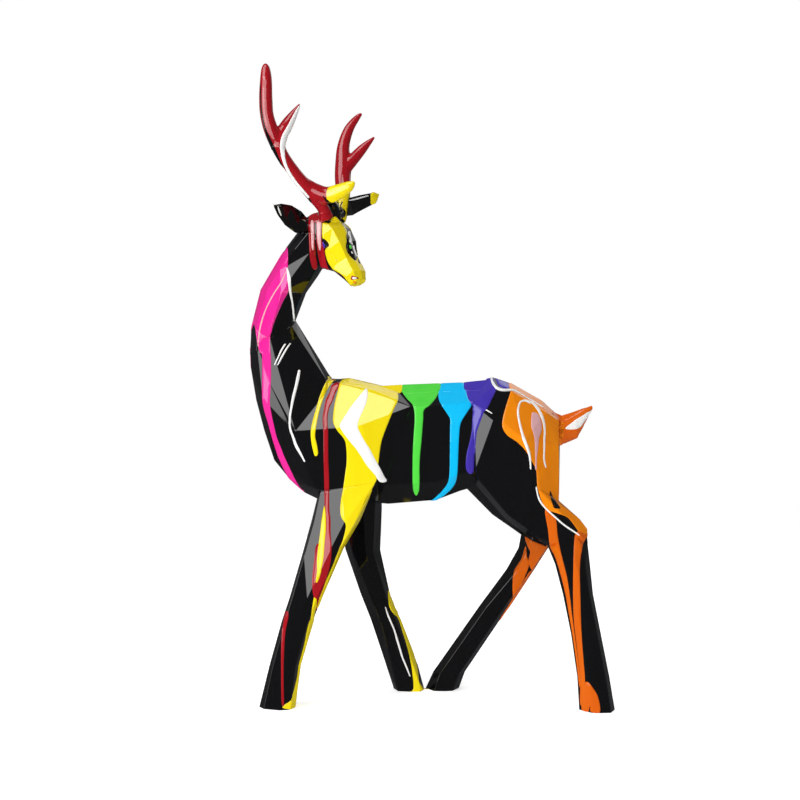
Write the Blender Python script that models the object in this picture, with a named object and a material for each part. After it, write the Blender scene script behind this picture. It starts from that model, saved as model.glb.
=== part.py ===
# Geometric deer statue: a stag ornament cast in one piece, with a faceted body,
# a head turned back over its left shoulder and smooth antlers.
# It faces -X, its left side is on -Y, and it stands on four flat hooves at z = 0.

import bmesh
import bpy
from math import cos, pi, radians, sin
from mathutils import Matrix, Vector

# Driving sizes, in metres and degrees
STATUE_HEIGHT = 0.443
MM = STATUE_HEIGHT / 443.0  # the pose below is drawn in millimetres on a figure 443 tall

BODY_HALF_WIDTH = 32.0 * MM
LIMB_WIDTH = 1.0  # share that thickens or thins every leg
HEAD_YAW = 38.0  # towards the viewer, from straight back over the rump
HEAD_PITCH = 54.0  # nose down
HEAD_LENGTH = 51.0 * MM
HEAD_HALF_WIDTH = 15.0 * MM
EAR_LENGTH = 35.0 * MM
TUBE_SIDES = 14  # round antlers
TUBE_STEPS = 5  # rings between two drawn points of an antler
WELD = 0.02 * MM  # corners that the unions leave closer than this are made one

# Cross profile of the trunk: (share from the ridge to the belly, share of the half width)
BARREL = ((0.16, 0.82), (0.48, 0.97), (0.80, 0.98), (0.985, 0.45))
# Cross profile of a leg, front to back
LIMB = ((0.34, 0.96), (0.60, 1.06), (0.86, 0.90))
# An ear from root to tip: (share of its length, half breadth, half depth, cup)
EAR_LEAF = (
    (0.0, 4.5, 4.0, 1.0), (0.28, 6.6, 3.4, 0.2), (0.58, 6.2, 3.0, -0.1), (0.84, 3.6, 2.2, 0.2),
    (1.0, 0.6, 0.5, 0.5),
)
# Where the breast meets the shoulder: corners (x, half width, z) that both share
SHOULDER_EDGE = {"shoulder top": (-86.5, 32, 192.5), "arm top": (-70.0, 32, 152.0)}


def clear_scene():
    for thing in list(bpy.data.objects):
        bpy.data.objects.remove(thing, do_unlink=True)


def lacquer():
    """Black gloss lacquer of the casting."""
    finish = bpy.data.materials.new("black_gloss_lacquer")
    finish.use_nodes = True
    shader = finish.node_tree.nodes["Principled BSDF"]
    shader.inputs["Base Color"].default_value = (0.006, 0.006, 0.007, 1.0)
    shader.inputs["Roughness"].default_value = 0.08
    shader.inputs["Metallic"].default_value = 0.0
    return finish


def section(start, end, sides, middle=0.0):
    """Ring of corners round a line from start to end, both (x, z) in drawn millimetres.

    sides are (share of the line, half width) down the near flank, and the far flank
    mirrors them in the plane y = middle.
    """
    first = Vector((start[0] * MM, middle, start[1] * MM))
    last = Vector((end[0] * MM, middle, end[1] * MM))
    near = [first.lerp(last, share) - Vector((0, width, 0)) for share, width in sides]
    far = [first.lerp(last, share) + Vector((0, width, 0)) for share, width in sides]
    return [first, *near, last, *reversed(far)]


def scaled(profile, half_width):
    """A profile's shares of the half width as widths."""
    return [(share, part * half_width) for share, part in profile]


def widths(*pairs):
    """Sides drawn in millimetres, as (share, half width)."""
    return [(share, width * MM) for share, width in pairs]


def loft(name, rings, twist=0, rounded=False):
    """Closed solid through rings of equal count, faceted or rounded; twist picks the diagonals."""
    shape = bmesh.new()
    loops = [[shape.verts.new(corner) for corner in ring] for ring in rings]
    count = len(rings[0])
    for row, (low, high) in enumerate(zip(loops, loops[1:])):
        for i in range(count):
            j = (i + 1) % count
            if (row + i + twist) % 2:
                shape.faces.new((low[i], low[j], high[j]))
                shape.faces.new((low[i], high[j], high[i]))
            else:
                shape.faces.new((low[i], low[j], high[i]))
                shape.faces.new((low[j], high[j], high[i]))
    shape.faces.new(list(reversed(loops[0])))
    shape.faces.new(loops[-1])
    bmesh.ops.recalc_face_normals(shape, faces=shape.faces)
    for face in shape.faces:
        face.smooth = rounded
    return as_object(name, shape)


def as_object(name, shape):
    mesh = bpy.data.meshes.new(name)
    shape.to_mesh(mesh)
    shape.free()
    form = bpy.data.objects.new(name, mesh)
    bpy.context.scene.collection.objects.link(form)
    return form


def block(name, corners, side):
    """Convex faceted solid on named corners (x, half width, z) in drawn millimetres.

    side is -1 for the near flank and 1 for the far one; 0 puts each corner on both.
    """
    shape = bmesh.new()
    for x, width, z in corners.values():
        for turn in ((side,) if side else (-1, 1)):
            shape.verts.new(Vector((x, turn * width, z)) * MM)
    hull = bmesh.ops.convex_hull(shape, input=shape.verts)
    spare = [part for part in hull["geom_interior"] if isinstance(part, bmesh.types.BMVert)]
    bmesh.ops.delete(shape, geom=spare, context="VERTS")
    bmesh.ops.remove_doubles(shape, verts=shape.verts, dist=WELD)
    bmesh.ops.recalc_face_normals(shape, faces=shape.faces)
    return as_object(name, shape)


def trunk():
    """Barrel of the body, from inside the rump to inside the shoulders."""
    half = BODY_HALF_WIDTH
    rings = [
        section((90.0, 198.0), (90.0, 166.0), scaled(BARREL, 0.50 * half)),
        section((66.0, 217.0), (68.0, 158.0), scaled(BARREL, 0.72 * half)),
        section((46.0, 224.6), (44.0, 152.0), scaled(BARREL, 0.86 * half)),
        section((29.4, 222.9), (27.4, 147.6), scaled(BARREL, 0.94 * half)),
        section((11.2, 222.2), (10.6, 141.2), scaled(BARREL, half)),
        section((-14.7, 221.2), (-23.1, 138.4), scaled(BARREL, half)),
        section((-30.0, 220.2), (-44.0, 140.5), scaled(BARREL, 0.92 * half)),
        section((-54.0, 218.0), (-66.0, 146.0), scaled(BARREL, 0.76 * half)),
    ]
    return loft("form_trunk", rings)


def breast():
    """Breast and root of the neck, up to the bend of the nape."""
    corners = {
        "nape": (-87.5, 0, 266.5),
        "nape side": (-90.0, 8, 263.5),
        "throat side": (-104.5, 18, 255.5),
        "throat front": (-114.5, 11, 252.5),
        "throat": (-119.2, 3, 247.0),
        "nape bend": (-93.5, 18, 251.5),
        "mane top": (-85.5, 11, 256.0),
        "mane foot": (-66.0, 14, 226.5),
        "withers": (-62.5, 0, 226.0),
        "neck hollow": (-104.5, 22.5, 224.5),
        "breast side": (-110.0, 18.5, 214.0),
        "breast top": (-118.8, 4, 234.0),
        "breast middle": (-115.0, 6, 211.5),
        "breast bulge": (-109.5, 7, 190.5),
        "brisket": (-102.5, 8, 169.5),
        "brisket low": (-92.0, 11, 157.0),
        "brisket foot": (-80.5, 13, 147.0),
        "brisket end": (-72.0, 14, 143.0),
        "shoulder point": (-89.5, 30.5, 193.5),
        "arm pit": (-73.0, 30.5, 152.0),
        **SHOULDER_EDGE,
    }
    return block("form_breast", corners, 0)


def shoulder(name, side):
    """Shoulder blade and upper arm, standing a little proud of the flank."""
    corners = {
        "nape": (-63.0, 0, 225.3),
        "withers": (-50.0, 0, 225.9),
        "back": (-37.0, 0, 221.9),
        "nape side": (-65.0, 10, 224.8),
        "blade top": (-41.0, 17, 219.5),
        "blade back": (-33.5, 16.5, 219.0),
        "blade front": (-58.0, 37, 195.0),
        "blade rear": (-41.0, 37, 197.0),
        **SHOULDER_EDGE,
        "flank top": (-15.0, 11, 216.8),
        "flank corner": (-7.0, 26.8, 208.8),
        "flank": (-26.0, 32.8, 185.5),
        "elbow": (-31.0, 37.5, 158.5),
        "elbow back": (-24.5, 33.5, 158.0),
        "arm front": (-54.0, 37, 154.0),
        "breast floor": (-71.0, 14, 144.0),
        "belly floor": (-29.0, 16, 141.0),
        "inner front": (-76.0, -2, 190.0),
        "inner back": (-32.0, -2, 185.0),
    }
    return block(name, corners, side)


def haunch(name, side, stifle, thigh, crotch, ham):
    """Rump, haunch and thigh; the last four are (x, z) along the thigh's lower outline."""
    corners = {
        "croup": (46.5, 0, 225.7),
        "croup top": (51.0, 0, 226.5),
        "croup back": (63.0, 0, 222.3),
        "rump": (84.0, 0, 210.4),
        "tail root": (97.0, 0, 198.6),
        "croup edge": (50.0, 15, 221.0),
        "rump edge": (63.0, 16, 218.0),
        "rump back": (86.5, 14, 203.5),
        "rump tail": (95.5, 9, 197.0),
        "loin": (35.5, 25.8, 210.6),
        "hip front": (48.5, 31.0, 204.5),
        "hip": (49.5, 32.5, 200.0),
        "flank fold": (37.5, 33.5, 168.0),
        "stifle": (stifle[0], 22, stifle[1]),
        "stifle edge": (stifle[0] + 1.5, 34, stifle[1] + 5.0),
        "thigh": (thigh[0], 24, thigh[1]),
        "thigh edge": (thigh[0] + 1.5, 37, thigh[1] + 4.5),
        "crotch": (crotch[0], 26, crotch[1]),
        "crotch edge": (crotch[0] + 2.0, 37.5, crotch[1] + 4.5),
        "ham": (ham[0], 32, ham[1]),
        "outer ham": (79.5, 39.5, 156.0),
        "outer thigh": (71.0, 38.5, 187.0),
        "buttock": (94.7, 22, 181.0),
        "buttock foot": (94.7, 27, 142.0),
        "inner croup": (44.0, -2, 205.0),
        "inner tail": (93.0, -2, 190.0),
        "inner buttock": (90.0, 7, 176.0),
        "inner stifle": (stifle[0] + 5.0, 10, stifle[1] + 6.0),
        "inner thigh": (thigh[0] + 5.0, 14, thigh[1] + 5.0),
        "inner ham": (ham[0] - 2.0, 20, ham[1] + 6.0),
        "inner seat": (90.0, 12, 150.0),
    }
    return block(name, corners, side)


def gaskin():
    """Back of the near thigh, drawn out to the hock."""
    corners = {
        "outer ham": (79.5, 38.5, 154.0),
        "ham foot": (85.0, 38.5, 143.5),
        "ham low": (93.5, 38.5, 133.5),
        "hock edge": (108.5, 38.0, 122.0),
        "buttock foot": (94.5, 27, 143.5),
        "heel": (97.5, 28, 137.5),
        "hock top": (109.5, 29, 130.5),
        "hock": (114.3, 30, 124.0),
        "hock back": (115.2, 31, 113.5),
        "crotch": (87.0, 32, 112.5),
        "crotch edge": (89.0, 39, 116.5),
        "thigh foot": (76.0, 37, 121.0),
        "inner thigh": (76.0, 22, 122.0),
        "inner crotch": (88.0, 19, 113.0),
        "inner hock": (112.5, 19, 117.0),
        "inner heel": (104.0, 18, 131.0),
        "inner seat": (88.0, 16, 143.0),
    }
    return block("form_near_gaskin", corners, -1)


def neck():
    """Upper neck, leaning over to the head on the near side."""
    rings = [
        section((-86.0, 260.0), (-119.6, 243.0), widths((0.14, 8), (0.46, 16), (0.84, 12.5), (0.97, 4.5))),
        section((-87.5, 266.6), (-118.6, 260.0), widths((0.08, 8), (0.52, 18.0), (0.86, 12.5), (0.97, 5))),
        section((-80.0, 286.0), (-111.3, 288.0), widths((0.08, 8), (0.52, 17), (0.84, 12.5), (0.96, 5)), -2.5 * MM),
        section((-71.5, 298.0), (-102.2, 303.3), widths((0.10, 9), (0.50, 16), (0.84, 12), (0.96, 5)), -6 * MM),
        section((-63.0, 312.0), (-93.4, 317.9), widths((0.12, 9), (0.44, 14.5), (0.80, 12.5), (0.95, 5)), -9.5 * MM),
        section((-60.0, 326.0), (-85.0, 329.0), widths((0.12, 7), (0.40, 11), (0.72, 11), (0.94, 5)), -11 * MM),
    ]
    return loft("form_neck", rings, twist=1)


def limb_ring(front, back, middle, half, profile=LIMB):
    return section(front, back, scaled(profile, half * LIMB_WIDTH * MM), middle * MM)


def limb(name, levels, twist=0):
    """Leg from the flat sole up; a level is (front, back, middle, half width, profile)."""
    return loft(name, [limb_ring(*level) for level in levels], twist)


def near_fore_leg():
    levels = [
        ((-112.5, 0.0), (-87.8, 0.0), -33.0, 11.6, ((0.14, 0.60), (0.60, 1.0), (0.88, 0.80))),
        ((-105.2, 29.5), (-83.9, 29.5), -32.0, 10.0, ((0.12, 0.60), (0.55, 1.0), (0.86, 0.92))),
        ((-96.4, 60.9), (-74.6, 60.9), -31.0, 10.5, ((0.10, 0.60), (0.50, 1.0), (0.84, 0.94))),
        ((-91.0, 77.0), (-68.8, 77.0), -30.5, 11.0, ((0.08, 0.60), (0.56, 1.04), (0.82, 0.96))),
        ((-82.8, 105.0), (-54.0, 111.0), -28.5, 13.0, ((0.06, 0.58), (0.67, 1.06), (0.88, 0.96))),
        ((-75.8, 130.0), (-42.8, 130.0), -26.5, 14.5, ((0.05, 0.58), (0.70, 1.04), (0.90, 0.94))),
        ((-71.5, 147.5), (-30.5, 158.5), -22.0, 15.0, ((0.03, 0.62), (0.42, 0.98), (0.97, 1.01))),
        ((-62.0, 172.0), (-36.0, 172.0), -20.0, 8.0),
    ]
    return limb("form_near_fore", levels)


def far_fore_leg():
    levels = [
        ((-19.2, 0.0), (2.7, 0.0), 29.5, 11.6, ((0.14, 0.86), (0.55, 1.0), (0.90, 0.92))),
        ((-24.8, 17.3), (-1.8, 17.3), 29.0, 10.0, ((0.20, 0.86), (0.55, 1.0), (0.86, 0.92))),
        ((-35.6, 50.2), (-14.4, 50.2), 29.0, 9.5),
        ((-42.6, 68.3), (-21.6, 68.3), 28.0, 10.5),
        ((-53.6, 101.0), (-28.7, 101.0), 27.0, 12.0, ((0.20, 0.80), (0.60, 1.06), (0.80, 0.90))),
        ((-60.0, 130.0), (-27.6, 130.0), 25.0, 14.0, ((0.14, 0.70), (0.60, 1.06), (0.84, 0.90))),
        ((-69.0, 148.0), (-27.6, 158.0), 22.0, 15.0, ((0.04, 0.62), (0.42, 0.96), (0.94, 0.99))),
        ((-60.0, 172.0), (-36.0, 172.0), 20.0, 8.0),
    ]
    return limb("form_far_fore", levels)


def near_hind_leg():
    levels = [
        ((108.9, 0.0), (133.7, 0.0), -42.0, 11.4, ((0.32, 0.92), (0.58, 1.0), (0.86, 0.92))),
        ((107.6, 22.5), (130.0, 22.5), -39.5, 9.5),
        ((103.4, 51.5), (124.2, 51.5), -36.5, 8.8),
        ((97.8, 79.1), (118.8, 79.1), -33.5, 9.0),
        ((92.4, 99.8), (116.6, 101.0), -31.0, 9.6, ((0.30, 0.92), (0.58, 1.04), (0.84, 0.86))),
        ((87.2, 112.4), (115.0, 115.0), -29.0, 10.2, ((0.22, 0.94), (0.50, 1.0), (0.80, 0.86))),
        ((88.0, 128.0), (104.0, 128.0), -28.0, 7.0),
    ]
    return limb("form_near_hind", levels)


def far_hind_leg():
    levels = [
        ((3.6, 0.0), (27.8, 0.0), 31.0, 11.4, ((0.24, 0.94), (0.55, 1.0), (0.80, 0.90))),
        ((9.1, 12.0), (32.1, 12.0), 31.0, 10.0, ((0.20, 0.90), (0.50, 1.0), (0.80, 0.90))),
        ((42.7, 60.5), (64.3, 60.5), 31.0, 9.2, ((0.20, 0.90), (0.50, 1.0), (0.80, 0.90))),
        ((61.3, 86.1), (80.8, 86.1), 30.5, 9.8),
        ((70.0, 102.0), (91.0, 102.5), 30.0, 11.0),
        ((72.0, 113.0), (97.0, 117.0), 29.0, 12.0),
        ((68.0, 132.0), (94.0, 137.0), 26.0, 11.0),
        ((68.0, 150.0), (90.0, 150.0), 23.0, 9.0),
    ]
    return limb("form_far_hind", levels)


def tail():
    """Short upright tail, a wedge with a raised tip."""
    rings = [
        section((86.0, 205.0), (86.0, 176.0), widths((0.3, 8), (0.6, 9), (0.9, 5))),
        section((98.5, 199.5), (95.5, 178.5), widths((0.3, 7.5), (0.6, 8.5), (0.9, 4))),
        section((106.5, 202.0), (109.5, 184.5), widths((0.3, 6.5), (0.6, 7), (0.9, 3.5))),
        section((119.4, 206.8), (119.8, 205.2), widths((0.3, 0.6), (0.6, 0.8), (0.9, 0.5))),
    ]
    return loft("form_tail", rings)


def head_frame():
    """Turn from the head's own axes (nose +X, left +Y, skull top +Z) to the statue's."""
    place = Matrix.Translation(Vector((-61.8, -12.0, 341.0)) * MM)
    return place @ Matrix.Rotation(radians(-HEAD_YAW), 4, "Z") @ Matrix.Rotation(radians(HEAD_PITCH), 4, "Y")


def head_ring(along, top, brow, cheek, jaw, bottom):
    """Ring across the head at a share of its length from the poll to the nose.

    top and bottom are heights in drawn millimetres; brow, cheek and jaw are
    (height, share of the half width).
    """
    x = along * HEAD_LENGTH
    half = [Vector((x, part * HEAD_HALF_WIDTH, height * MM)) for height, part in (brow, cheek, jaw)]
    crown = Vector((x, 0, top * MM))
    throat = Vector((x, 0, bottom * MM))
    mirror = [Vector((corner.x, -corner.y, corner.z)) for corner in half]
    return [crown, *half, throat, *reversed(mirror)]


def head():
    rings = [
        head_ring(-0.14, -7.0, (-9.0, 0.42), (-16.0, 0.66), (-22.0, 0.46), -25.0),
        head_ring(0.02, 0.0, (-3.0, 0.62), (-12.0, 1.00), (-25.0, 0.74), -29.0),
        head_ring(0.26, 3.0, (1.0, 0.66), (-9.0, 1.04), (-27.0, 0.74), -32.0),
        head_ring(0.46, 1.5, (0.4, 0.62), (-8.0, 0.80), (-27.0, 0.64), -31.0),
        head_ring(0.68, -2.0, (-3.0, 0.42), (-9.0, 0.60), (-17.0, 0.54), -20.5),
        head_ring(0.90, -2.3, (-3.4, 0.42), (-8.0, 0.60), (-12.6, 0.50), -14.5),
        head_ring(1.01, -4.6, (-5.6, 0.32), (-8.5, 0.44), (-12.0, 0.34), -13.0),
    ]
    turn = head_frame()
    return loft("form_head", [[turn @ corner for corner in ring] for ring in rings])


def ear(name, side, sink, breadth, spread, lift, back):
    """Leaf-shaped ear, cupped forwards; side is -1 for the near ear.

    sink is its depth below the poll and breadth widens it; spread, lift and back
    weigh the ways outwards, up and away from the nose.
    """
    turn = head_frame()
    root = turn @ Vector((0.5 * MM, side * 0.74 * HEAD_HALF_WIDTH, -sink * MM))
    left = turn.to_3x3() @ Vector((0, 1, 0))
    ahead = Vector((left.y, -left.x, 0))
    out = (left * (side * spread) + Vector((0, 0, lift)) - ahead * back).normalized()
    broad = out.cross(ahead).normalized() * -side
    deep = broad.cross(out).normalized() * -side
    rings = []
    for share, width, depth, cup in EAR_LEAF:
        centre = root + out * (share * EAR_LENGTH)
        corners = ((-1.0, 0.0), (-0.5, -1.0), (0.5, -1.0), (1.0, 0.0), (0.3, cup), (-0.3, cup))
        half = breadth * width * MM
        rings.append([centre + broad * (a * half) + deep * (b * depth * MM) for a, b in corners])
    return loft(name, rings)


def smooth_line(points):
    """Curve through the drawn points: (position, radius) at even steps between them."""
    spread = [points[0], *points, points[-1]]
    line = []
    for before, here, there, after in zip(spread, spread[1:], spread[2:], spread[3:]):
        for step in range(TUBE_STEPS):
            t = step / TUBE_STEPS
            line.append(tuple(
                0.5 * (2 * b + (c - a) * t + (2 * a - 5 * b + 4 * c - d) * t ** 2 + (3 * b - a - 3 * c + d) * t ** 3)
                for a, b, c, d in zip(before, here, there, after)
            ))
    line.append(points[-1])
    return [(Vector(row[:3]) * MM, row[3] * MM) for row in line]


def tube(name, points):
    """Round tapering tube through (x, y, z, radius) in drawn millimetres, with a blunt tip."""
    line = smooth_line(points)
    across = Vector((0, 1, 0))
    rings = []
    for index, (centre, radius) in enumerate(line):
        before = line[max(index - 1, 0)][0]
        after = line[min(index + 1, len(line) - 1)][0]
        along = (after - before).normalized()
        across = (across - along * across.dot(along)).normalized()
        other = along.cross(across)
        rings.append([
            centre + (across * cos(angle) + other * sin(angle)) * radius
            for angle in (2 * pi * step / TUBE_SIDES for step in range(TUBE_SIDES))
        ])
    return loft(name, rings, rounded=True)


def near_antler():
    beam = [
        (-64.5, -19.0, 338.0, 5.0), (-68.0, -22.0, 346.0, 4.6), (-75.0, -27.0, 355.5, 5.6),
        (-84.5, -33.0, 368.0, 6.2), (-93.5, -38.0, 382.5, 6.6), (-100.5, -41.0, 398.0, 5.6),
        (-105.0, -42.0, 415.0, 4.3), (-106.0, -41.0, 430.0, 3.2), (-106.0, -39.5, 441.0, 1.4),
        (-106.0, -39.2, 443.0, 0.3),
    ]
    tine = [
        (-95.5, -40.0, 384.0, 4.8), (-94.0, -38.5, 394.0, 4.6), (-90.5, -36.5, 402.0, 3.6),
        (-86.5, -34.0, 409.5, 2.0), (-82.8, -32.0, 416.0, 0.4),
    ]
    brow = [
        (-80.0, -29.5, 362.0, 3.4), (-73.0, -27.5, 356.0, 4.9), (-65.0, -27.5, 353.6, 5.0),
        (-57.0, -30.0, 356.5, 4.8),
        (-49.5, -33.0, 360.5, 3.4), (-45.6, -34.5, 363.4, 0.5),
    ]
    return [tube("form_near_beam", beam), tube("form_near_tine", tine), tube("form_near_brow", brow)]


def far_antler():
    beam = [
        (-56.5, -4.0, 336.0, 3.6), (-54.8, 2.0, 345.0, 3.5), (-54.3, 8.0, 355.0, 4.9),
        (-54.8, 15.0, 365.0, 5.7), (-54.6, 20.0, 376.0, 5.7), (-54.8, 23.5, 388.0, 4.0),
        (-51.5, 26.0, 400.0, 2.8), (-45.5, 27.0, 408.5, 1.4), (-42.0, 27.2, 411.0, 0.3),
    ]
    tine = [
        (-53.5, 17.5, 372.0, 4.4), (-47.5, 20.0, 379.0, 3.8), (-40.5, 22.5, 387.0, 2.8),
        (-33.0, 24.5, 394.6, 0.5),
    ]
    return [tube("form_far_beam", beam), tube("form_far_tine", tine)]


def joined(forms):
    """One closed mesh from the overlapping forms, with the forms removed."""
    figure = forms[0]
    for form in forms[1:]:
        union = figure.modifiers.new(form.name, "BOOLEAN")
        union.operation = "UNION"
        union.solver = "EXACT"
        union.object = form
    seen = figure.evaluated_get(bpy.context.evaluated_depsgraph_get())
    shape = bmesh.new()
    shape.from_mesh(bpy.data.meshes.new_from_object(seen))
    for form in forms:
        bpy.data.objects.remove(form, do_unlink=True)
    bmesh.ops.remove_doubles(shape, verts=shape.verts, dist=WELD)
    bmesh.ops.triangulate(shape, faces=shape.faces)
    return shape


def centre_on_footprint(shape):
    """Puts the middle of the figure's plan box over the origin, with the soles at z = 0."""
    xs = [corner.co.x for corner in shape.verts]
    ys = [corner.co.y for corner in shape.verts]
    zs = [corner.co.z for corner in shape.verts]
    shift = Vector((-(min(xs) + max(xs)) / 2, -(min(ys) + max(ys)) / 2, -min(zs)))
    bmesh.ops.translate(shape, vec=shift, verts=shape.verts)


def build_deer():
    forms = [
        trunk(), breast(), shoulder("form_near_shoulder", -1), shoulder("form_far_shoulder", 1), gaskin(),
        haunch("form_near_haunch", -1, (37.5, 154.5), (58.0, 130.5), (70.0, 121.5), (87.5, 113.0)),
        haunch("form_far_haunch", 1, (33.0, 145.5), (51.0, 127.0), (72.0, 112.0), (90.0, 104.0)),
        near_fore_leg(), far_fore_leg(), near_hind_leg(), far_hind_leg(),
        tail(), neck(), head(),
        ear("form_near_ear", -1, 16.0, 1.25, 0.87, 0.44, 0.09),
        ear("form_far_ear", 1, 0.0, 0.74, 0.97, 0.42, -0.10),
        *near_antler(), *far_antler(),
    ]
    shape = joined(forms)
    centre_on_footprint(shape)
    deer = as_object("deer", shape)
    deer.data.materials.append(lacquer())
    deer.data.set_sharp_from_angle(angle=radians(40.0))
    return deer


clear_scene()
build_deer()
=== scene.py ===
import math

import bmesh
import bpy
import numpy as np
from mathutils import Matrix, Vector
from mathutils.bvhtree import BVHTree
from mathutils.geometry import delaunay_2d_cdt


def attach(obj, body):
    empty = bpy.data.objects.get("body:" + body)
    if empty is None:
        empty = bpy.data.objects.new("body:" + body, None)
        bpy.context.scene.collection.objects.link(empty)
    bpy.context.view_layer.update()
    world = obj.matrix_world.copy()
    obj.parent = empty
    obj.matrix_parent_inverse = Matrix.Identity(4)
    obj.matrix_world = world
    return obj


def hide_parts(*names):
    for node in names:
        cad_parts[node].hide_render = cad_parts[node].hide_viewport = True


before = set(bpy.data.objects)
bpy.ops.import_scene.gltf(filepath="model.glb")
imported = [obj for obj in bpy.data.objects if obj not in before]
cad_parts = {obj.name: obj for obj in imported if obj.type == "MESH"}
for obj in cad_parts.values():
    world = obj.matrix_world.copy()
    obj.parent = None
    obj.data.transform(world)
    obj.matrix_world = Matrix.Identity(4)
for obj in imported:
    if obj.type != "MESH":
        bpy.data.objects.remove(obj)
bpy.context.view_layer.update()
mm = 0.001
print("frame loaded")


# small helpers
def linear(code):
    parts = [int(code[i:i + 2], 16) / 255 for i in (1, 3, 5)]
    return [p / 12.92 if p <= 0.04045 else ((p + 0.055) / 1.055) ** 2.4 for p in parts] + [1.0]


def addNode(tree, kind, settings=None, links=None):
    node = tree.nodes.new(kind)
    for key, value in (settings or {}).items():
        if key in node.inputs:
            node.inputs[key].default_value = value
        else:
            setattr(node, key, value)
    for key, source in (links or {}).items():
        tree.links.new(source, node.inputs[key])
    return node


def pickNothing():
    if bpy.context.object and bpy.context.object.mode != "OBJECT":
        bpy.ops.object.mode_set(mode="OBJECT")
    bpy.ops.object.select_all(action="DESELECT")


def pickOnly(piece):
    pickNothing()
    piece.select_set(True)
    bpy.context.view_layer.objects.active = piece


def applyModifier(piece, kind, **settings):
    pickOnly(piece)
    modifier = piece.modifiers.new(kind.lower(), kind)
    for key, value in settings.items():
        setattr(modifier, key, value)
    bpy.ops.object.modifier_apply(modifier=modifier.name)


def meshPiece(name, corners, faces):
    mesh = bpy.data.meshes.new(name)
    mesh.from_pydata(corners, [], faces)
    piece = bpy.data.objects.new(name, mesh)
    bpy.context.scene.collection.objects.link(piece)
    return piece


# finishes
# Two-pack acrylic lacquer, sprayed and polished: deep black, mirror-like, with a faint orange peel.
# Poured enamel: full gloss, thick, flows a little lighter and darker as it thins over the casting.
finishColours = {
    "black": ("#060607", "#0b0b0d"),
    "magenta": ("#e8128c", "#f0309c"),
    "yellow": ("#f4d800", "#fbe616"),
    "red": ("#960a16", "#b01420"),
    "white": ("#f4f3f0", "#ffffff"),
    "green": ("#46d43c", "#60e24e"),
    "cyan": ("#00baf6", "#0cc8ff"),
    "violet": ("#3e2ca4", "#4a3ab4"),
    "orange": ("#f28200", "#ff960c"),
    "rust": ("#d85a06", "#e46c0c"),
    # pale pink is painted highlight and painted reflection, laid on as enamel films
    "highlightPink": ("#dfa3a6", "#eebfc0"),
}
finish = {
    "blackRough": 0.07,
    "paintRough": 0.10,
    "peelSize": 2.6,      # millimetres between the dimples of the orange peel
    "peelDepth": 0.012,   # millimetres
    "streakAcross": 9.0,  # millimetres between the flow streaks
    "streakAlong": 60.0,  # millimetres, their length down the figure
    "rippleSize": 5.0,    # the same for the paint, which lies in soft ripples
    "rippleDepth": 0.05,
    "streakDetail": 3.0,
    "streakSoft": 0.45,
    "ior": 1.5,
    "coat": 0.6,
    "coatRough": 0.03,
}


def lacquerMaterial(name, colour, rough, dimple, dimpleDepth):
    material = bpy.data.materials.new(name)
    material.use_nodes = True
    tree = material.node_tree
    tree.nodes.clear()
    place = addNode(tree, "ShaderNodeTexCoord").outputs["Object"]
    stretch = (1000 / finish["streakAcross"], 1000 / finish["streakAcross"], 1000 / finish["streakAlong"])
    flow = addNode(tree, "ShaderNodeMapping", {"Scale": stretch}, {"Vector": place})
    streak = addNode(tree, "ShaderNodeTexNoise", {
        "Scale": 1.0, "Detail": finish["streakDetail"], "Roughness": finish["streakSoft"],
    }, {"Vector": flow.outputs["Vector"]})
    blend = addNode(tree, "ShaderNodeMix", {"data_type": "RGBA"})  # its sockets 6 and 7 are the two colours
    blend.inputs[6].default_value = linear(finishColours[colour][0])
    blend.inputs[7].default_value = linear(finishColours[colour][1])
    tree.links.new(streak.outputs["Fac"], blend.inputs[0])
    peel = addNode(tree, "ShaderNodeTexNoise", {"Scale": 1000 / dimple, "Detail": 1.0}, {"Vector": place})
    bump = addNode(tree, "ShaderNodeBump", {"Strength": 1.0, "Distance": dimpleDepth * mm},
                   {"Height": peel.outputs["Fac"]})
    shader = addNode(tree, "ShaderNodeBsdfPrincipled", {
        "Roughness": rough, "Metallic": 0.0, "IOR": finish["ior"], "Coat Weight": finish["coat"],
        "Coat Roughness": finish["coatRough"], "Coat IOR": finish["ior"],
    }, {"Base Color": blend.outputs[2], "Normal": bump.outputs["Normal"]})
    addNode(tree, "ShaderNodeOutputMaterial", None, {"Surface": shader.outputs["BSDF"]})
    return material


finishes = {}
for colour in finishColours:
    if colour == "black":
        finishes[colour] = lacquerMaterial("black_acrylic_lacquer", colour, finish["blackRough"],
                                           finish["peelSize"], finish["peelDepth"])
    else:
        finishes[colour] = lacquerMaterial("poured_enamel_" + colour, colour, finish["paintRough"],
                                           finish["rippleSize"], finish["rippleDepth"])
print("finishes made")


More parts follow.
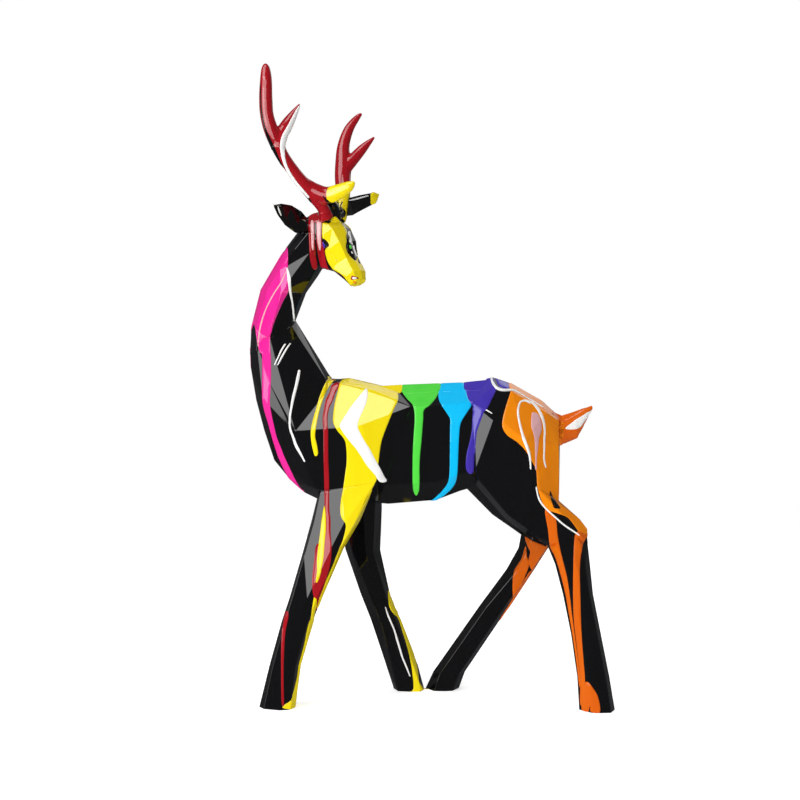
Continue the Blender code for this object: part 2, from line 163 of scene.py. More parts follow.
# antlers: points down their centre lines (x, y, z, radius), as the casting has them
antlers = {
    "shift": (-7.05, 5.5),  # from the drawing's frame to the statue's
    "nearBeam": [
        (-64.5, -19, 338, 4.7), (-68, -22, 346, 4.3), (-75, -27, 355.5, 5), (-85, -33, 367.4, 4.3),
        (-95, -38, 381.8, 4.4), (-101.2, -41, 396, 5), (-104.6, -42, 408, 4.7), (-105.4, -41.6, 420, 4.6),
        (-105.2, -41, 432, 4.1), (-105.4, -40, 438.6, 3.2), (-105.6, -39.4, 441.6, 2),
        (-105.7, -39.2, 442.8, 0.7),
    ],
    "nearTine": [
        (-97.5, -40.5, 385, 4.6), (-95.6, -39, 394, 4.8), (-91.4, -36.6, 402, 4.1), (-87, -34, 409.5, 2.4),
        (-82.8, -32, 416, 0.6),
    ],
    "browTine": [
        (-80, -29.5, 362.6, 3.9), (-73, -27.5, 356.8, 5.6), (-65, -27.5, 353.9, 5.9), (-57, -30, 356.2, 5.4),
        (-49.5, -33, 360, 3.8), (-45.6, -34.5, 363, 1),
    ],
    "farBeam": [
        (-56.5, -4, 336, 4.2), (-54.8, 2, 345, 4.7), (-54.3, 8, 355, 5), (-54.8, 15, 365, 5.7),
        (-54.6, 20, 376, 5.7), (-54.5, 23.5, 388, 4.4), (-50.7, 26, 400, 3.5), (-44.5, 27, 408.5, 2.1),
        (-41.4, 27.2, 411, 0.8),
    ],
    "farTine": [
        (-53.5, 17.5, 372, 4.6), (-47.5, 20, 379, 4.2), (-40.3, 22.5, 387, 3.2), (-32.6, 24.5, 394.6, 0.8),
    ],
    "pollKnob": [
        (-61.6, -13.5, 335, 6.4), (-61.6, -13.5, 342, 6.2), (-61.2, -12.5, 346.6, 5),
        (-60.6, -12, 349.4, 2.2),
    ],
    "pollRidge": [
        (-61.6, -13, 340, 5.6), (-59, -7, 341, 5.6), (-56.4, -1, 341, 5),
    ],
    "steps": 6,         # rings between two points
    "roundness": 6,     # a tube's section has 4 sides more than twice this
    "voxel": 0.55,      # the forks are melted together at this size
    "softening": 14,    # turns of smoothing after that, and how far each goes
    "softenBy": 0.5,
    "smoothBelow": 50,  # degrees: sharper edges, at the cut ends, stay sharp
    "nearPaintEnd": ((-62.3, -28.0, 354.0), (0.90, -0.43, 0.0)),   # the yellow of the brow tine starts here
    "farPaintEnd": ((-54.0, 9.0, 357.5), (0.05, 0.25, 0.95)),      # the red of the far antler starts here
}


def smoothLine(points, steps, closed=False):
    rows = np.array(points, float)
    if closed:
        rows = np.vstack([rows[-1], rows, rows[0], rows[1]])
    else:
        rows = np.vstack([rows[0], rows, rows[-1]])
    line = []
    for a, b, c, d in zip(rows, rows[1:], rows[2:], rows[3:]):
        for t in np.arange(steps) / steps:
            line.append(0.5 * (2 * b + (c - a) * t + (2 * a - 5 * b + 4 * c - d) * t ** 2
                               + (3 * b - a - 3 * c + d) * t ** 3))
    if not closed:
        line.append(rows[-2])
    return np.array(line)


def antlerTube(key):
    line = smoothLine(antlers[key], antlers["steps"])
    pickNothing()
    bpy.ops.curve.primitive_nurbs_path_add()
    tube = bpy.context.object
    curve = tube.data
    curve.splines.clear()
    spline = curve.splines.new("POLY")
    spline.points.add(len(line) - 1)
    for point, (x, y, z, radius) in zip(spline.points, line):
        point.co = ((x + antlers["shift"][0]) * mm, (y + antlers["shift"][1]) * mm, z * mm, 1)
        point.radius = radius
    curve.dimensions = "3D"
    curve.bevel_depth = mm
    curve.bevel_resolution = antlers["roundness"]
    curve.use_fill_caps = True
    bpy.ops.object.convert(target="MESH")
    return bpy.context.object


def melted(name, keys):
    tubes = [antlerTube(key) for key in keys]
    pickNothing()
    for tube in tubes:
        tube.select_set(True)
    bpy.context.view_layer.objects.active = tubes[0]
    bpy.ops.object.join()
    piece = bpy.context.object
    piece.name = name
    piece.data.name = name
    applyModifier(piece, "REMESH", mode="VOXEL", voxel_size=antlers["voxel"] * mm, use_smooth_shade=True)
    applyModifier(piece, "SMOOTH", factor=antlers["softenBy"], iterations=antlers["softening"])
    return piece


def cutAway(piece, where, name):
    # the part of the piece past a plane becomes a piece of its own, both closed
    spot = Vector(where[0]) * mm + Vector((antlers["shift"][0], antlers["shift"][1], 0)) * mm
    pickOnly(piece)
    bpy.ops.object.duplicate()
    other = bpy.context.object
    other.name = name
    other.data.name = name
    for part, inner in ((piece, False), (other, True)):
        pickOnly(part)
        bpy.ops.object.mode_set(mode="EDIT")
        bpy.ops.mesh.select_all(action="SELECT")
        bpy.ops.mesh.bisect(plane_co=spot, plane_no=Vector(where[1]).normalized(), use_fill=True,
                            clear_inner=inner, clear_outer=not inner)
        bpy.ops.object.mode_set(mode="OBJECT")
    return other


antlerNear = melted("antler_near", ["nearBeam", "nearTine", "browTine"])
browTip = cutAway(antlerNear, antlers["nearPaintEnd"], "antler_brow_tip")
antlerFar = melted("antler_far", ["farBeam", "farTine"])
farTop = cutAway(antlerFar, antlers["farPaintEnd"], "antler_far_top")
antlerFar.name = "antler_far_root"
pollKnob = melted("poll_knob", ["pollKnob", "pollRidge"])
antlerPieces = [antlerNear, browTip, antlerFar, farTop, pollKnob]
for piece, colour in zip(antlerPieces, ("red", "yellow", "yellow", "red", "black")):
    piece.data.materials.clear()
    piece.data.materials.append(finishes[colour])
    pickOnly(piece)
    bpy.ops.object.shade_smooth_by_angle(angle=math.radians(antlers["smoothBelow"]))
print("antlers made")


# casting: the CAD solid's own facets, cleaned, without its coarse antlers, with softened edges
casting = {
    "weld": 0.01,
    "flat": 0.6,        # degrees: facets flatter to each other than this are one
    "edge": 0.35,       # width of the rounded edges
    "edgeRings": 2,
    "edgeAngle": 9.0,   # degrees: softer edges stay as they are
    "smoothBelow": 4,   # degrees
    "tubeSteps": 12,    # places between two points of an antler that the faces are measured from
    "antlerGap": (1.3, 5.5),  # faces closer to an antler's tube than this belong to it, low down and above
    "antlerFoot": 338.0,
    "antlerClear": 357.0,
    "earCorners": [     # the far ear's corners that are drawn out: place, move
        ((-55.4, 7.6, 345.8), (-2.0, 0.0, 6.4)), ((-50.0, 14.1, 352.8), (-0.6, 0.0, 1.0)),
        ((-47.7, 16.9, 344.4), (0.0, 0.0, -0.8)), ((-42.4, 22.4, 349.8), (3.6, 1.6, -1.6)),
        ((-43.7, 20.7, 354.7), (3.4, 1.6, 1.1)), ((-45.0, 22.6, 353.5), (3.4, 1.6, 1.1)),
        ((-44.3, 23.4, 351.1), (3.4, 1.6, -0.6)), ((-42.9, 21.0, 352.9), (3.4, 1.6, 0.0)),
        ((-42.5, 21.5, 351.5), (3.4, 1.6, -0.6)),
    ],
    "earTip": ((-39.5, 25.2, 354.4), (3.0, 1.4, -0.6)),
    "earReach": (0.7, 1.3),  # a corner within this of its place moves, and so does the tip's
    "earTipMerge": 1.2,
}
deer = bpy.data.objects.new("deer_casting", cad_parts["deer"].data.copy())
deer.data.name = "deer_casting"
bpy.context.scene.collection.objects.link(deer)
pickOnly(deer)
bpy.ops.object.mode_set(mode="EDIT")
bpy.ops.mesh.select_mode(type="FACE")
bpy.ops.mesh.select_all(action="SELECT")
bpy.ops.mesh.remove_doubles(threshold=casting["weld"] * mm)
bpy.ops.mesh.select_all(action="DESELECT")
bpy.ops.object.mode_set(mode="OBJECT")
shift = np.array([antlers["shift"][0], antlers["shift"][1], 0, 0])
tubeLines = np.vstack([smoothLine(antlers[key], casting["tubeSteps"]) + shift for key in
                       ("nearBeam", "nearTine", "browTine", "farBeam", "farTine")])
for face in deer.data.polygons:
    middle = np.array(face.center) / mm
    away = np.sqrt(((tubeLines[:, :3] - middle) ** 2).sum(1)) - tubeLines[:, 3]
    gap = casting["antlerGap"][0 if middle[2] < casting["antlerClear"] else 1]
    face.select = bool(middle[2] > casting["antlerFoot"] and away.min() < gap)
bpy.ops.object.mode_set(mode="EDIT")
bpy.ops.mesh.delete(type="FACE")
bpy.ops.mesh.select_all(action="SELECT")
bpy.ops.mesh.dissolve_limited(angle_limit=math.radians(casting["flat"]))
bpy.ops.mesh.select_mode(type="VERT")
for reach, moves in zip(casting["earReach"], (casting["earCorners"], [casting["earTip"]])):
    for place, move in moves:
        bpy.ops.mesh.select_all(action="DESELECT")
        bpy.ops.object.mode_set(mode="OBJECT")
        for vertex in deer.data.vertices:
            vertex.select = (vertex.co - Vector(place) * mm).length < reach * mm
        bpy.ops.object.mode_set(mode="EDIT")
        bpy.ops.transform.translate(value=Vector(move) * mm)
bpy.ops.mesh.remove_doubles(threshold=casting["earTipMerge"] * mm)
bpy.ops.object.mode_set(mode="OBJECT")
work = bmesh.new()
work.from_mesh(deer.data)
creases = [(edge.verts[0].co.copy(), edge.verts[1].co.copy()) for edge in work.edges
           if len(edge.link_faces) == 2 and edge.calc_face_angle(0) > math.radians(casting["edgeAngle"])]
work.free()
deer.data.materials.clear()
deer.data.materials.append(finishes["black"])
print("casting made:", len(deer.data.polygons), "facets,", len(creases), "creases")


# poured enamel: each pour is an outline on the upright plane through the statue's middle, in millimetres
# (x, z), as the viewer's eye in front sees it. Where it runs past the statue's outline it folds over.
pouring = {
    "spacing": 0.85,     # between the points of a film
    "step": 0.7,         # along its rim
    "threadStep": 0.42,  # along a thread's rim
    "rowRise": 0.866,    # from one row of points to the next, in spacings
    "outlineSteps": 12,  # places between two points of an outline
    "threadSteps": 5,
    "thinnest": 0.25,    # half the width of the thinnest thread
    "film": 0.42,        # thickness
    "layer": 0.30,       # each further coat stands this much higher
    "bead": 1.3,         # width of the rounded rim
    "sunk": 0.25,        # how far the film's back lies in the casting
    "reach": 42.0,       # a film keeps to surfaces this near its own depth
    "longest": 2.0,      # a film's longest edge, in spacings
    "splits": 4,         # times that a long edge is halved
    "foldTurns": 8,      # turns of the search for the edge that a film folds round
    "past": 0.1,         # past a surface in the way, from where the search goes on
    "creaseStep": 3.0,   # length of the pieces that a crease is cut into
    "creaseSeen": 0.4,   # a crease no deeper than this behind the surface is in sight
    "creaseDeep": 0.3,   # a crease counts where it is this far inside a film's rim
    "rimClear": 0.62,    # how far the rows stay off the rim, in spacings
    "creaseClear": 0.4,  # and off a crease
    "innerLine": 0.4,    # a second line of points this far inside the rim, in the rim's steps
    "innerClear": 0.34,
    "probe": 0.1,        # a step aside from the rim, which tells where its inside is
    "sampled": 5,        # every fifth point tells how deep a film lies
}
# where an outline is seen from: the eye, which way its two numbers run, how much of it folds round the edge,
# and the level that it lies at, where something else is in the way
pourSides = {
    "near": ((-21.75, -1694.5, 359.73), (1, 0, 0), (0, 0, 1), 0.5, None),
    "far": ((-21.75, 1694.5, 359.73), (1, 0, 0), (0, 0, 1), 0.25, None),
    "front": ((-4000, 0, 250), (0, 1, 0), (0, 0, 1), 0.25, None),
    "top": ((0, 0, 4000), (1, 0, 0), (0, 1, 0), 0.25, 212),
    "rear": ((4000, 0, 160), (0, 1, 0), (0, 0, 1), 0.25, None),
    "fore": ((4000, 0, 160), (0, 1, 0), (0, 0, 1), 0.25, -62),
}
# some of these pours are painted highlights and painted shade, each marked where it stands
nearPours = [
    ("neckBand", "magenta", 1, [
        (-100.2, 318.1), (-103.6, 314.6), (-109.2, 309), (-117.6, 295.2), (-126.1, 277.1), (-127, 269),
        (-123.4, 264), (-122, 256.9), (-121, 250.6), (-119.4, 244.6), (-118, 243), (-117.9, 231.1),
        (-118, 212.9), (-116.7, 204.5), (-113.9, 194.7), (-111.2, 184.8), (-109.1, 177.8), (-106.4, 170.1),
        (-101.5, 159.5), (-97.3, 152.5), (-91.8, 147.5), (-89, 145.4), (-89.7, 147.5), (-93.8, 153.2),
        (-97.3, 160.2), (-102.2, 170.8), (-104.9, 177.8), (-107.7, 184.8), (-109.7, 193.3), (-111.5, 201.7),
        (-112.5, 210.1), (-111.7, 225.5), (-111.6, 240.9), (-112.3, 253.4), (-110.8, 260.4), (-108, 268.7),
        (-103.1, 279.9), (-98.9, 288.2), (-98.9, 296.6), (-99.5, 304.9), (-99.5, 311.8),
    ]),
    ("shoulderThread", "yellow", 1, [
        (-69.9, 229), (-74.1, 222.7), (-77.6, 214.3), (-81.1, 203.1), (-83.9, 191.8), (-83.9, 183.4),
        (-82.6, 176.4), (-81.2, 172.2), (-79.1, 173.6), (-79.8, 179.9), (-81.1, 186.2), (-80.4, 191.8),
        (-78.3, 202.4), (-74.8, 213.6), (-71.3, 220.6), (-67.1, 226.2), (-67.1, 229.7),
    ]),
    ("forearmInlay", "yellow", 2, [
        (-74.7, 137), (-76.4, 128.5), (-77.8, 117.2), (-79.3, 105.9), (-80, 97.4), (-80, 90.3), (-81.1, 83.2),
        (-79.7, 83.2), (-77.6, 88.8), (-75.4, 98.8), (-74.4, 110.1), (-73.6, 120), (-73.6, 131.3),
    ]),
    ("shinRed", "red", 1, [
        (-102.6, 61.9), (-104.8, 49), (-105.5, 34.8), (-105.6, 18.4), (-105.3, -2.4), (-103.6, -3.8),
        (-103.8, 17), (-103.4, 33.4), (-102.3, 47.6), (-100.1, 60.4),
    ]),
    ("violetTop", "violet", 1, [
        (44.5, 231.1), (45.2, 225.5), (47.3, 221.3), (52.2, 219.5), (55.7, 220.6), (54.2, 225.5),
        (50.7, 229.7),
    ]),
    ("rumpPour", "orange", 1, [
        (57, 225.5), (55.7, 218.5), (52.9, 209.4), (50.2, 199.6), (49.8, 192.6), (53, 186.9), (60, 182),
        (65.6, 176.4), (69.1, 170.8), (73.4, 162.3), (74.5, 150.4), (77.7, 139.8), (81.2, 134.1),
        (85.4, 132.7), (91.8, 130.6), (96, 128.5), (100.2, 123.5), (103.7, 118.6), (107.3, 115.8),
        (111.5, 115.8), (110.7, 122.8), (106.5, 129.2), (98.7, 135.5), (92.4, 141.2), (91.6, 148.2),
        (91.5, 169.4), (91.5, 179.2), (94.2, 189), (92.7, 200.3), (82.9, 208.7), (71.7, 217.1), (63.3, 223.4),
    ]),
    ("tailPour", "rust", 1, [
        (89.3, 200.3), (94.1, 198.9), (100.4, 202.4), (114.3, 208.7), (113.7, 203.1), (109.5, 193.3),
        (103.3, 185.5), (97.7, 181.3), (90.1, 178.5), (87.2, 189),
    ]),
    ("thighFront", "rust", 1, [
        (79.8, 134.1), (82, 120), (83.5, 108), (87, 100.9), (90.6, 89.6), (94.2, 75.4), (96.4, 63.3),
        (99.3, 46.9), (102.2, 27.7), (104.4, 9.8), (105.5, 10.5), (103.6, 27.7), (101, 46.9), (98.8, 63.3),
        (97.7, 72.5), (95.5, 86.7), (91.9, 100.9), (89, 115.1), (87.6, 127.1), (84.7, 131.3),
    ]),
    ("shankBack", "rust", 1, [
        (101.6, 117.9), (100.3, 109.4), (99.8, 82.5), (100.3, 58.3), (102.9, 34.8), (105.1, 13.4),
        (105.2, -3.1), (107.3, -3.1), (108.7, 11.2), (107.5, 27.7), (106, 46.9), (105.1, 70.4), (104.6, 93.8),
        (106.6, 109.4), (110.1, 117.2), (105.8, 119.3),
    ]),
    ("hoofBlob", "rust", 1, [
        (107.6, 11.2), (110.8, 11.9), (114.3, 7.7), (117.9, 1.2), (119.4, -9.5), (113, -9.5), (112.3, -5.2),
        (110.9, -9.5), (106.7, -8.8), (105.9, -0.9), (105.9, 6.2),
    ]),
    ("hamSliver", "black", 2, [
        (83.3, 147.9), (85.4, 143.3), (90.3, 135.9), (89.6, 134.8), (86.1, 135.5), (84, 139.8), (82.6, 145.4),
    ]),
    ("farShinPour", "yellow", 1, [
        (-29.8, 77.5), (-29.5, 66.8), (-26.7, 61.1), (-23.2, 57.6), (-20.3, 49), (-16.1, 34.8), (-13.3, 20.5),
        (-12.2, 7.7), (-14, 4.4), (-2, 4.4), (-4.1, 6.9), (-8, 11.9), (-9.4, 22.7), (-14, 41.9), (-20, 57.6),
        (-26, 68.3),
    ]),
    ("farThighA", "rust", 1, [
        (65.9, 115.3), (71.5, 112.2), (81.2, 107.6), (78.6, 101.6), (74.4, 95.2), (70.7, 92), (68.4, 98.1),
        (69.5, 104.4), (67.3, 109.4),
    ]),
    ("farThighB", "rust", 1, [
        (66.3, 108.7), (63.2, 99.5), (57.9, 89.6), (57.7, 72.5), (60.5, 74.7), (67.2, 89.9), (68.8, 95.9),
        (67.4, 101.6),
    ]),
    ("farThighC", "rust", 1, [
        (69.5, 91), (62.5, 79.6), (54.2, 66.1), (48.6, 56.9), (50, 56.5), (57, 67.5), (65.3, 81),
    ]),
    ("shoulderDrip", "red", 1, [
        (-64.3, 224.1), (-69.2, 222), (-70.9, 217.1), (-73.7, 211.5), (-74.8, 205.9), (-75.9, 198.9),
        (-75.3, 189), (-75.2, 169.4), (-74.8, 153.9), (-74.8, 141.2), (-74.6, 132.7), (-73.9, 121.4),
        (-76.4, 112.9), (-80.7, 108.7), (-82.1, 98.8), (-83.5, 86), (-83.3, 77.5), (-81.5, 69), (-80.1, 62.6),
        (-78.7, 69), (-75.8, 77.5), (-72.3, 88.8), (-70.2, 98.8), (-69.7, 108.7), (-70.4, 118.6),
        (-70.4, 127.8), (-71.2, 134.1), (-71.3, 144), (-71.4, 156.7), (-71.9, 172.2), (-72, 189),
        (-72.3, 198.9), (-71, 205.9), (-68.4, 211.5), (-66.4, 217.1), (-63.6, 222),
    ]),
    ("shoulderPour", "yellow", 1, [
        (-62.9, 224.8), (-65, 218.5), (-67.1, 210.1), (-68.2, 203.1), (-68.4, 196.1), (-65.8, 190.4),
        (-60.5, 183.4), (-59.2, 176.4), (-59.1, 168), (-60.1, 159.5), (-61.4, 150.4), (-63.1, 141.2),
        (-63.6, 133.4), (-62.7, 128.5), (-59.9, 124.2), (-60.2, 119.3), (-62.1, 112.2), (-65, 105.1),
        (-69.5, 93.1), (-73, 84.6), (-76.1, 76.8), (-78.3, 69.7), (-74.4, 76.1), (-70.2, 83.9), (-66, 93.8),
        (-61.7, 102), (-58.9, 107.3), (-55.4, 117.9), (-50.5, 130.6), (-45.6, 141.9), (-40.6, 150.4),
        (-37.8, 156.7), (-36.9, 166.6), (-35.9, 175), (-34.6, 182.7), (-32.2, 189.7), (-29.4, 196.8),
        (-25.9, 205.2), (-22.9, 212.2), (-23.8, 217.8), (-28, 220.2), (-35.7, 222), (-45.5, 224.8),
        (-55.2, 226.9),
    ]),
    # painted highlight: a white film where a soft box's reflection lies on a narrow facet under the yellow
    # pour
    ("shoulderHighlight", "white", 2, [
        (-45.1, 219.5), (-44.1, 215), (-45.3, 208.7), (-47.4, 203.8), (-49.7, 198.9), (-51.2, 193.3),
        (-49, 187.6), (-45.5, 181.3), (-42.4, 176.4), (-39.6, 170.8), (-36.4, 165.1), (-33.6, 159.5),
        (-31.3, 154.6), (-36, 154.2), (-39.9, 159.5), (-45.2, 165.8), (-48.7, 171.5), (-52.5, 177.1),
        (-57.1, 182.7), (-61.3, 188.3), (-63.8, 193.3), (-61.5, 198.2), (-58.7, 202.4), (-55.9, 206.9),
        (-51.8, 212.2), (-48.3, 216.4),
    ]),
    ("greenFunnel", "green", 1, [
        (-23.1, 222), (-20.4, 217.1), (-16.9, 212.5), (-13.4, 208.7), (-11.8, 203.8), (-11.6, 196.1),
        (-12.4, 183.4), (-12.9, 169.4), (-12.9, 152.5), (-12.2, 146.8), (-10.5, 144.2), (-8.7, 146.8),
        (-8.1, 152.5), (-8, 168), (-6.7, 183.4), (-5.6, 197.5), (-5, 204.5), (-0.8, 208), (3.4, 212.9),
        (6.1, 218.5), (7.5, 222.7), (3.3, 226.9), (-7.8, 227.6), (-19, 226.2),
    ]),
    ("cyanFunnel", "cyan", 1, [
        (6.8, 222.7), (5.2, 217.8), (5.2, 212.2), (7.6, 207.3), (11.1, 202), (13.2, 198.2), (13.2, 191.8),
        (13.1, 175), (12.9, 160.9), (11.6, 153.2), (7.4, 147.2), (2.1, 142.2), (-0.7, 139.8), (2.8, 139.8),
        (10.5, 145.4), (16, 151.4), (18.3, 158.8), (19.1, 176.4), (20, 191.8), (21.5, 197.1), (25, 202.7),
        (28.1, 208), (25.7, 212.9), (24.3, 218.5), (23.6, 222.7), (21.5, 226.9), (10.3, 226.9),
    ]),
    ("violetPool", "violet", 1, [
        (23.6, 223.4), (24.7, 216.4), (26.7, 210.1), (30.6, 206.2), (36.9, 203.4), (39.7, 206.6),
        (42.4, 212.2), (45.2, 218.5), (44.5, 223.4), (41.7, 228.3), (32.6, 226.9), (25, 226.2),
    ]),
    ("violetDrip", "violet", 1, [
        (29.9, 208.7), (28.9, 201), (28.4, 190.4), (26.9, 182), (25.1, 175), (24.3, 168), (24.7, 162.3),
        (27.2, 159.5), (29.7, 160.9), (30.3, 169.4), (30.9, 177.8), (32, 189), (34.8, 197.5), (36.5, 204.5),
    ]),
    ("facePour", "yellow", 1, [
        (-69.6, 337.8), (-69.9, 335.4), (-71.7, 334.7), (-75, 335.1), (-75.7, 332.6), (-75.8, 328.4),
        (-75.4, 324), (-73.6, 322.9), (-71.3, 319), (-72.8, 317.5), (-73.8, 315.6), (-73.5, 312.9),
        (-72.6, 309.5), (-70.9, 305.9), (-68.3, 302.5), (-64.8, 300.4), (-61.3, 297.8), (-58.6, 294.3),
        (-56.1, 291.6), (-52.3, 289.9), (-47.5, 290), (-44.4, 293.8), (-44.4, 299.3), (-46.1, 304.9),
        (-48.1, 309.3), (-49.9, 311.7), (-51.2, 310.7), (-52.4, 308.6), (-54.4, 309.9), (-56.6, 312.1),
        (-58.4, 314.9), (-59.2, 318.3), (-58.8, 321.8), (-58.9, 326), (-58.5, 328.9), (-59.6, 331.6),
        (-61.7, 334.4), (-63.8, 336.7), (-66.5, 339.1),
    ]),
    ("cheekPour", "red", 1, [
        (-85.1, 338.8), (-85.4, 332.6), (-85, 324.3), (-84.6, 314.6), (-83.8, 307.7), (-82.2, 303.1),
        (-79.8, 302.4), (-79.1, 305.6), (-80.1, 311.8), (-80.5, 317.4), (-80.9, 324.3), (-81, 332.6),
        (-80.4, 335.4), (-79.7, 332.6), (-79.9, 325.7), (-79.3, 317.4), (-78.3, 310.4), (-77, 304.9),
        (-74.9, 301.7), (-71.8, 299.6), (-70.8, 301.4), (-72.7, 306.3), (-73.8, 311.8), (-74.4, 316.7),
        (-75.6, 320.8), (-76.1, 327.1), (-75.8, 334), (-73.7, 336.1), (-70.3, 337.2), (-70.3, 340.5),
        (-78.6, 341.9), (-83.4, 340.5),
    ]),
    # painted reflection: two pale pink films where a soft box's reflection lies in the curved red cheek
    ("cheekReflectionA", "highlightPink", 2, [
        (-83.5, 335.8), (-83.6, 329.8), (-83.4, 322.9), (-83, 316.3), (-81.8, 316.3), (-81.4, 322.2),
        (-81.3, 329.1), (-81.5, 335.8),
    ]),
    ("cheekReflectionB", "highlightPink", 2, [
        (-79.3, 335.4), (-79.5, 328.4), (-78.9, 321.5), (-78.1, 316.3), (-76.9, 315.7), (-76.3, 318.7),
        (-76.4, 324.3), (-76.3, 329.8), (-76.1, 334.7),
    ]),
    ("eyeAlmond", "black", 2, [
        (-58.7, 318.7), (-57.8, 320.4), (-56.4, 320.8), (-55.1, 319.3), (-54, 316), (-52.6, 312.2),
        (-52.6, 309), (-54.5, 310.4), (-56.5, 312.7), (-57.9, 315.3),
    ]),
    ("eyeGreen", "green", 3, [
        (-57.3, 319.3), (-56.2, 319.2), (-55.6, 317.4), (-55.9, 316.3), (-56.9, 316.9), (-57.5, 318.1),
    ]),
    ("noseSpot", "black", 2, [
        (-51.3, 309.5), (-50.1, 308.9), (-49.3, 306.3), (-50.9, 306.8),
    ]),
    ("nostrilRim", "red", 2, [
        (-56.2, 296), (-55.8, 297.5), (-54.7, 298.4), (-53, 297.8), (-50.6, 296.8), (-50.9, 295.9),
        (-53, 295.4), (-55, 295),
    ]),
    # painted highlight: a white film on the nostril
    ("nostril", "white", 3, [
        (-55, 296.6), (-54.3, 297.5), (-52.9, 297.1), (-51.6, 296.4), (-52.9, 295.9), (-54.4, 295.6),
    ]),
    # painted highlight: a white film on the ridge beside the eye
    ("eyeRidgeHighlight", "white", 2, [
        (-57.7, 328.9), (-56.6, 328.7), (-56, 325.7), (-55.2, 321.9), (-54.5, 319.2), (-55.5, 320.4),
        (-56.7, 321.2), (-57.1, 323.2), (-56.7, 325.3), (-57.8, 327.1),
    ]),
    ("templeSpot", "violet", 2, [
        (-75.3, 321.9), (-73.7, 319.2), (-74.1, 317.1), (-75.3, 319.4),
    ]),
    ("mouthPatch", "orange", 2, [
        (-54.7, 294.6), (-53.3, 294.8), (-51.6, 293.9), (-52.6, 292.8), (-54.1, 293.1),
    ]),
    # painted highlight: a white film on the tail
    ("tailHighlight", "white", 2, [
        (93.5, 191.6), (99.1, 196.3), (106.7, 201.5), (112.3, 204.9), (110.9, 201.4), (107.4, 197.2),
        (103.7, 192.3), (98.4, 190.7),
    ]),
    # painted highlight: a pale pink film inside the white loop on the rump
    ("rumpHighlight", "highlightPink", 2, [
        (70.4, 202.7), (69.6, 198.2), (69.7, 192.6), (70.9, 188.3), (71.9, 183.4), (72.2, 176.4),
        (72.4, 169.4), (72.8, 163), (73.7, 163), (73.9, 170.8), (74.6, 177.8), (75.4, 184.8), (77, 189.7),
        (76.7, 196.1), (74.6, 201.3),
    ]),
    ("shinYellow", "yellow", 1, [
        (-80.8, 77.5), (-82.6, 70.4), (-83.9, 61.9), (-86.1, 47.6), (-89.8, 33.4), (-93.3, 19.1),
        (-96.6, 6.2), (-98.6, -0.9), (-102.9, -4.1), (-104.3, -6.7), (-95.8, -7.4), (-94.7, -1.6),
        (-94.1, 6.2), (-91.1, 19.1), (-87.4, 33.4), (-83.8, 47.6), (-81.5, 61.1), (-79.4, 70.4),
    ]),
    ("earTip", "yellow", 1, [
        (-41.6, 347.4), (-42.1, 351.3), (-41.6, 357.1), (-37.7, 358.8), (-34.2, 356.1), (-35.2, 351.3),
        (-38.4, 348.1),
    ]),
    ("rootShade", "black", 1, [
        (-75.4, 353.9), (-72.7, 351.5), (-69.2, 348.8), (-65, 349.5), (-64, 347.5), (-65.4, 343),
        (-68.2, 340.9), (-69.9, 343), (-71.3, 346.4), (-73.7, 350.2),
    ]),
]
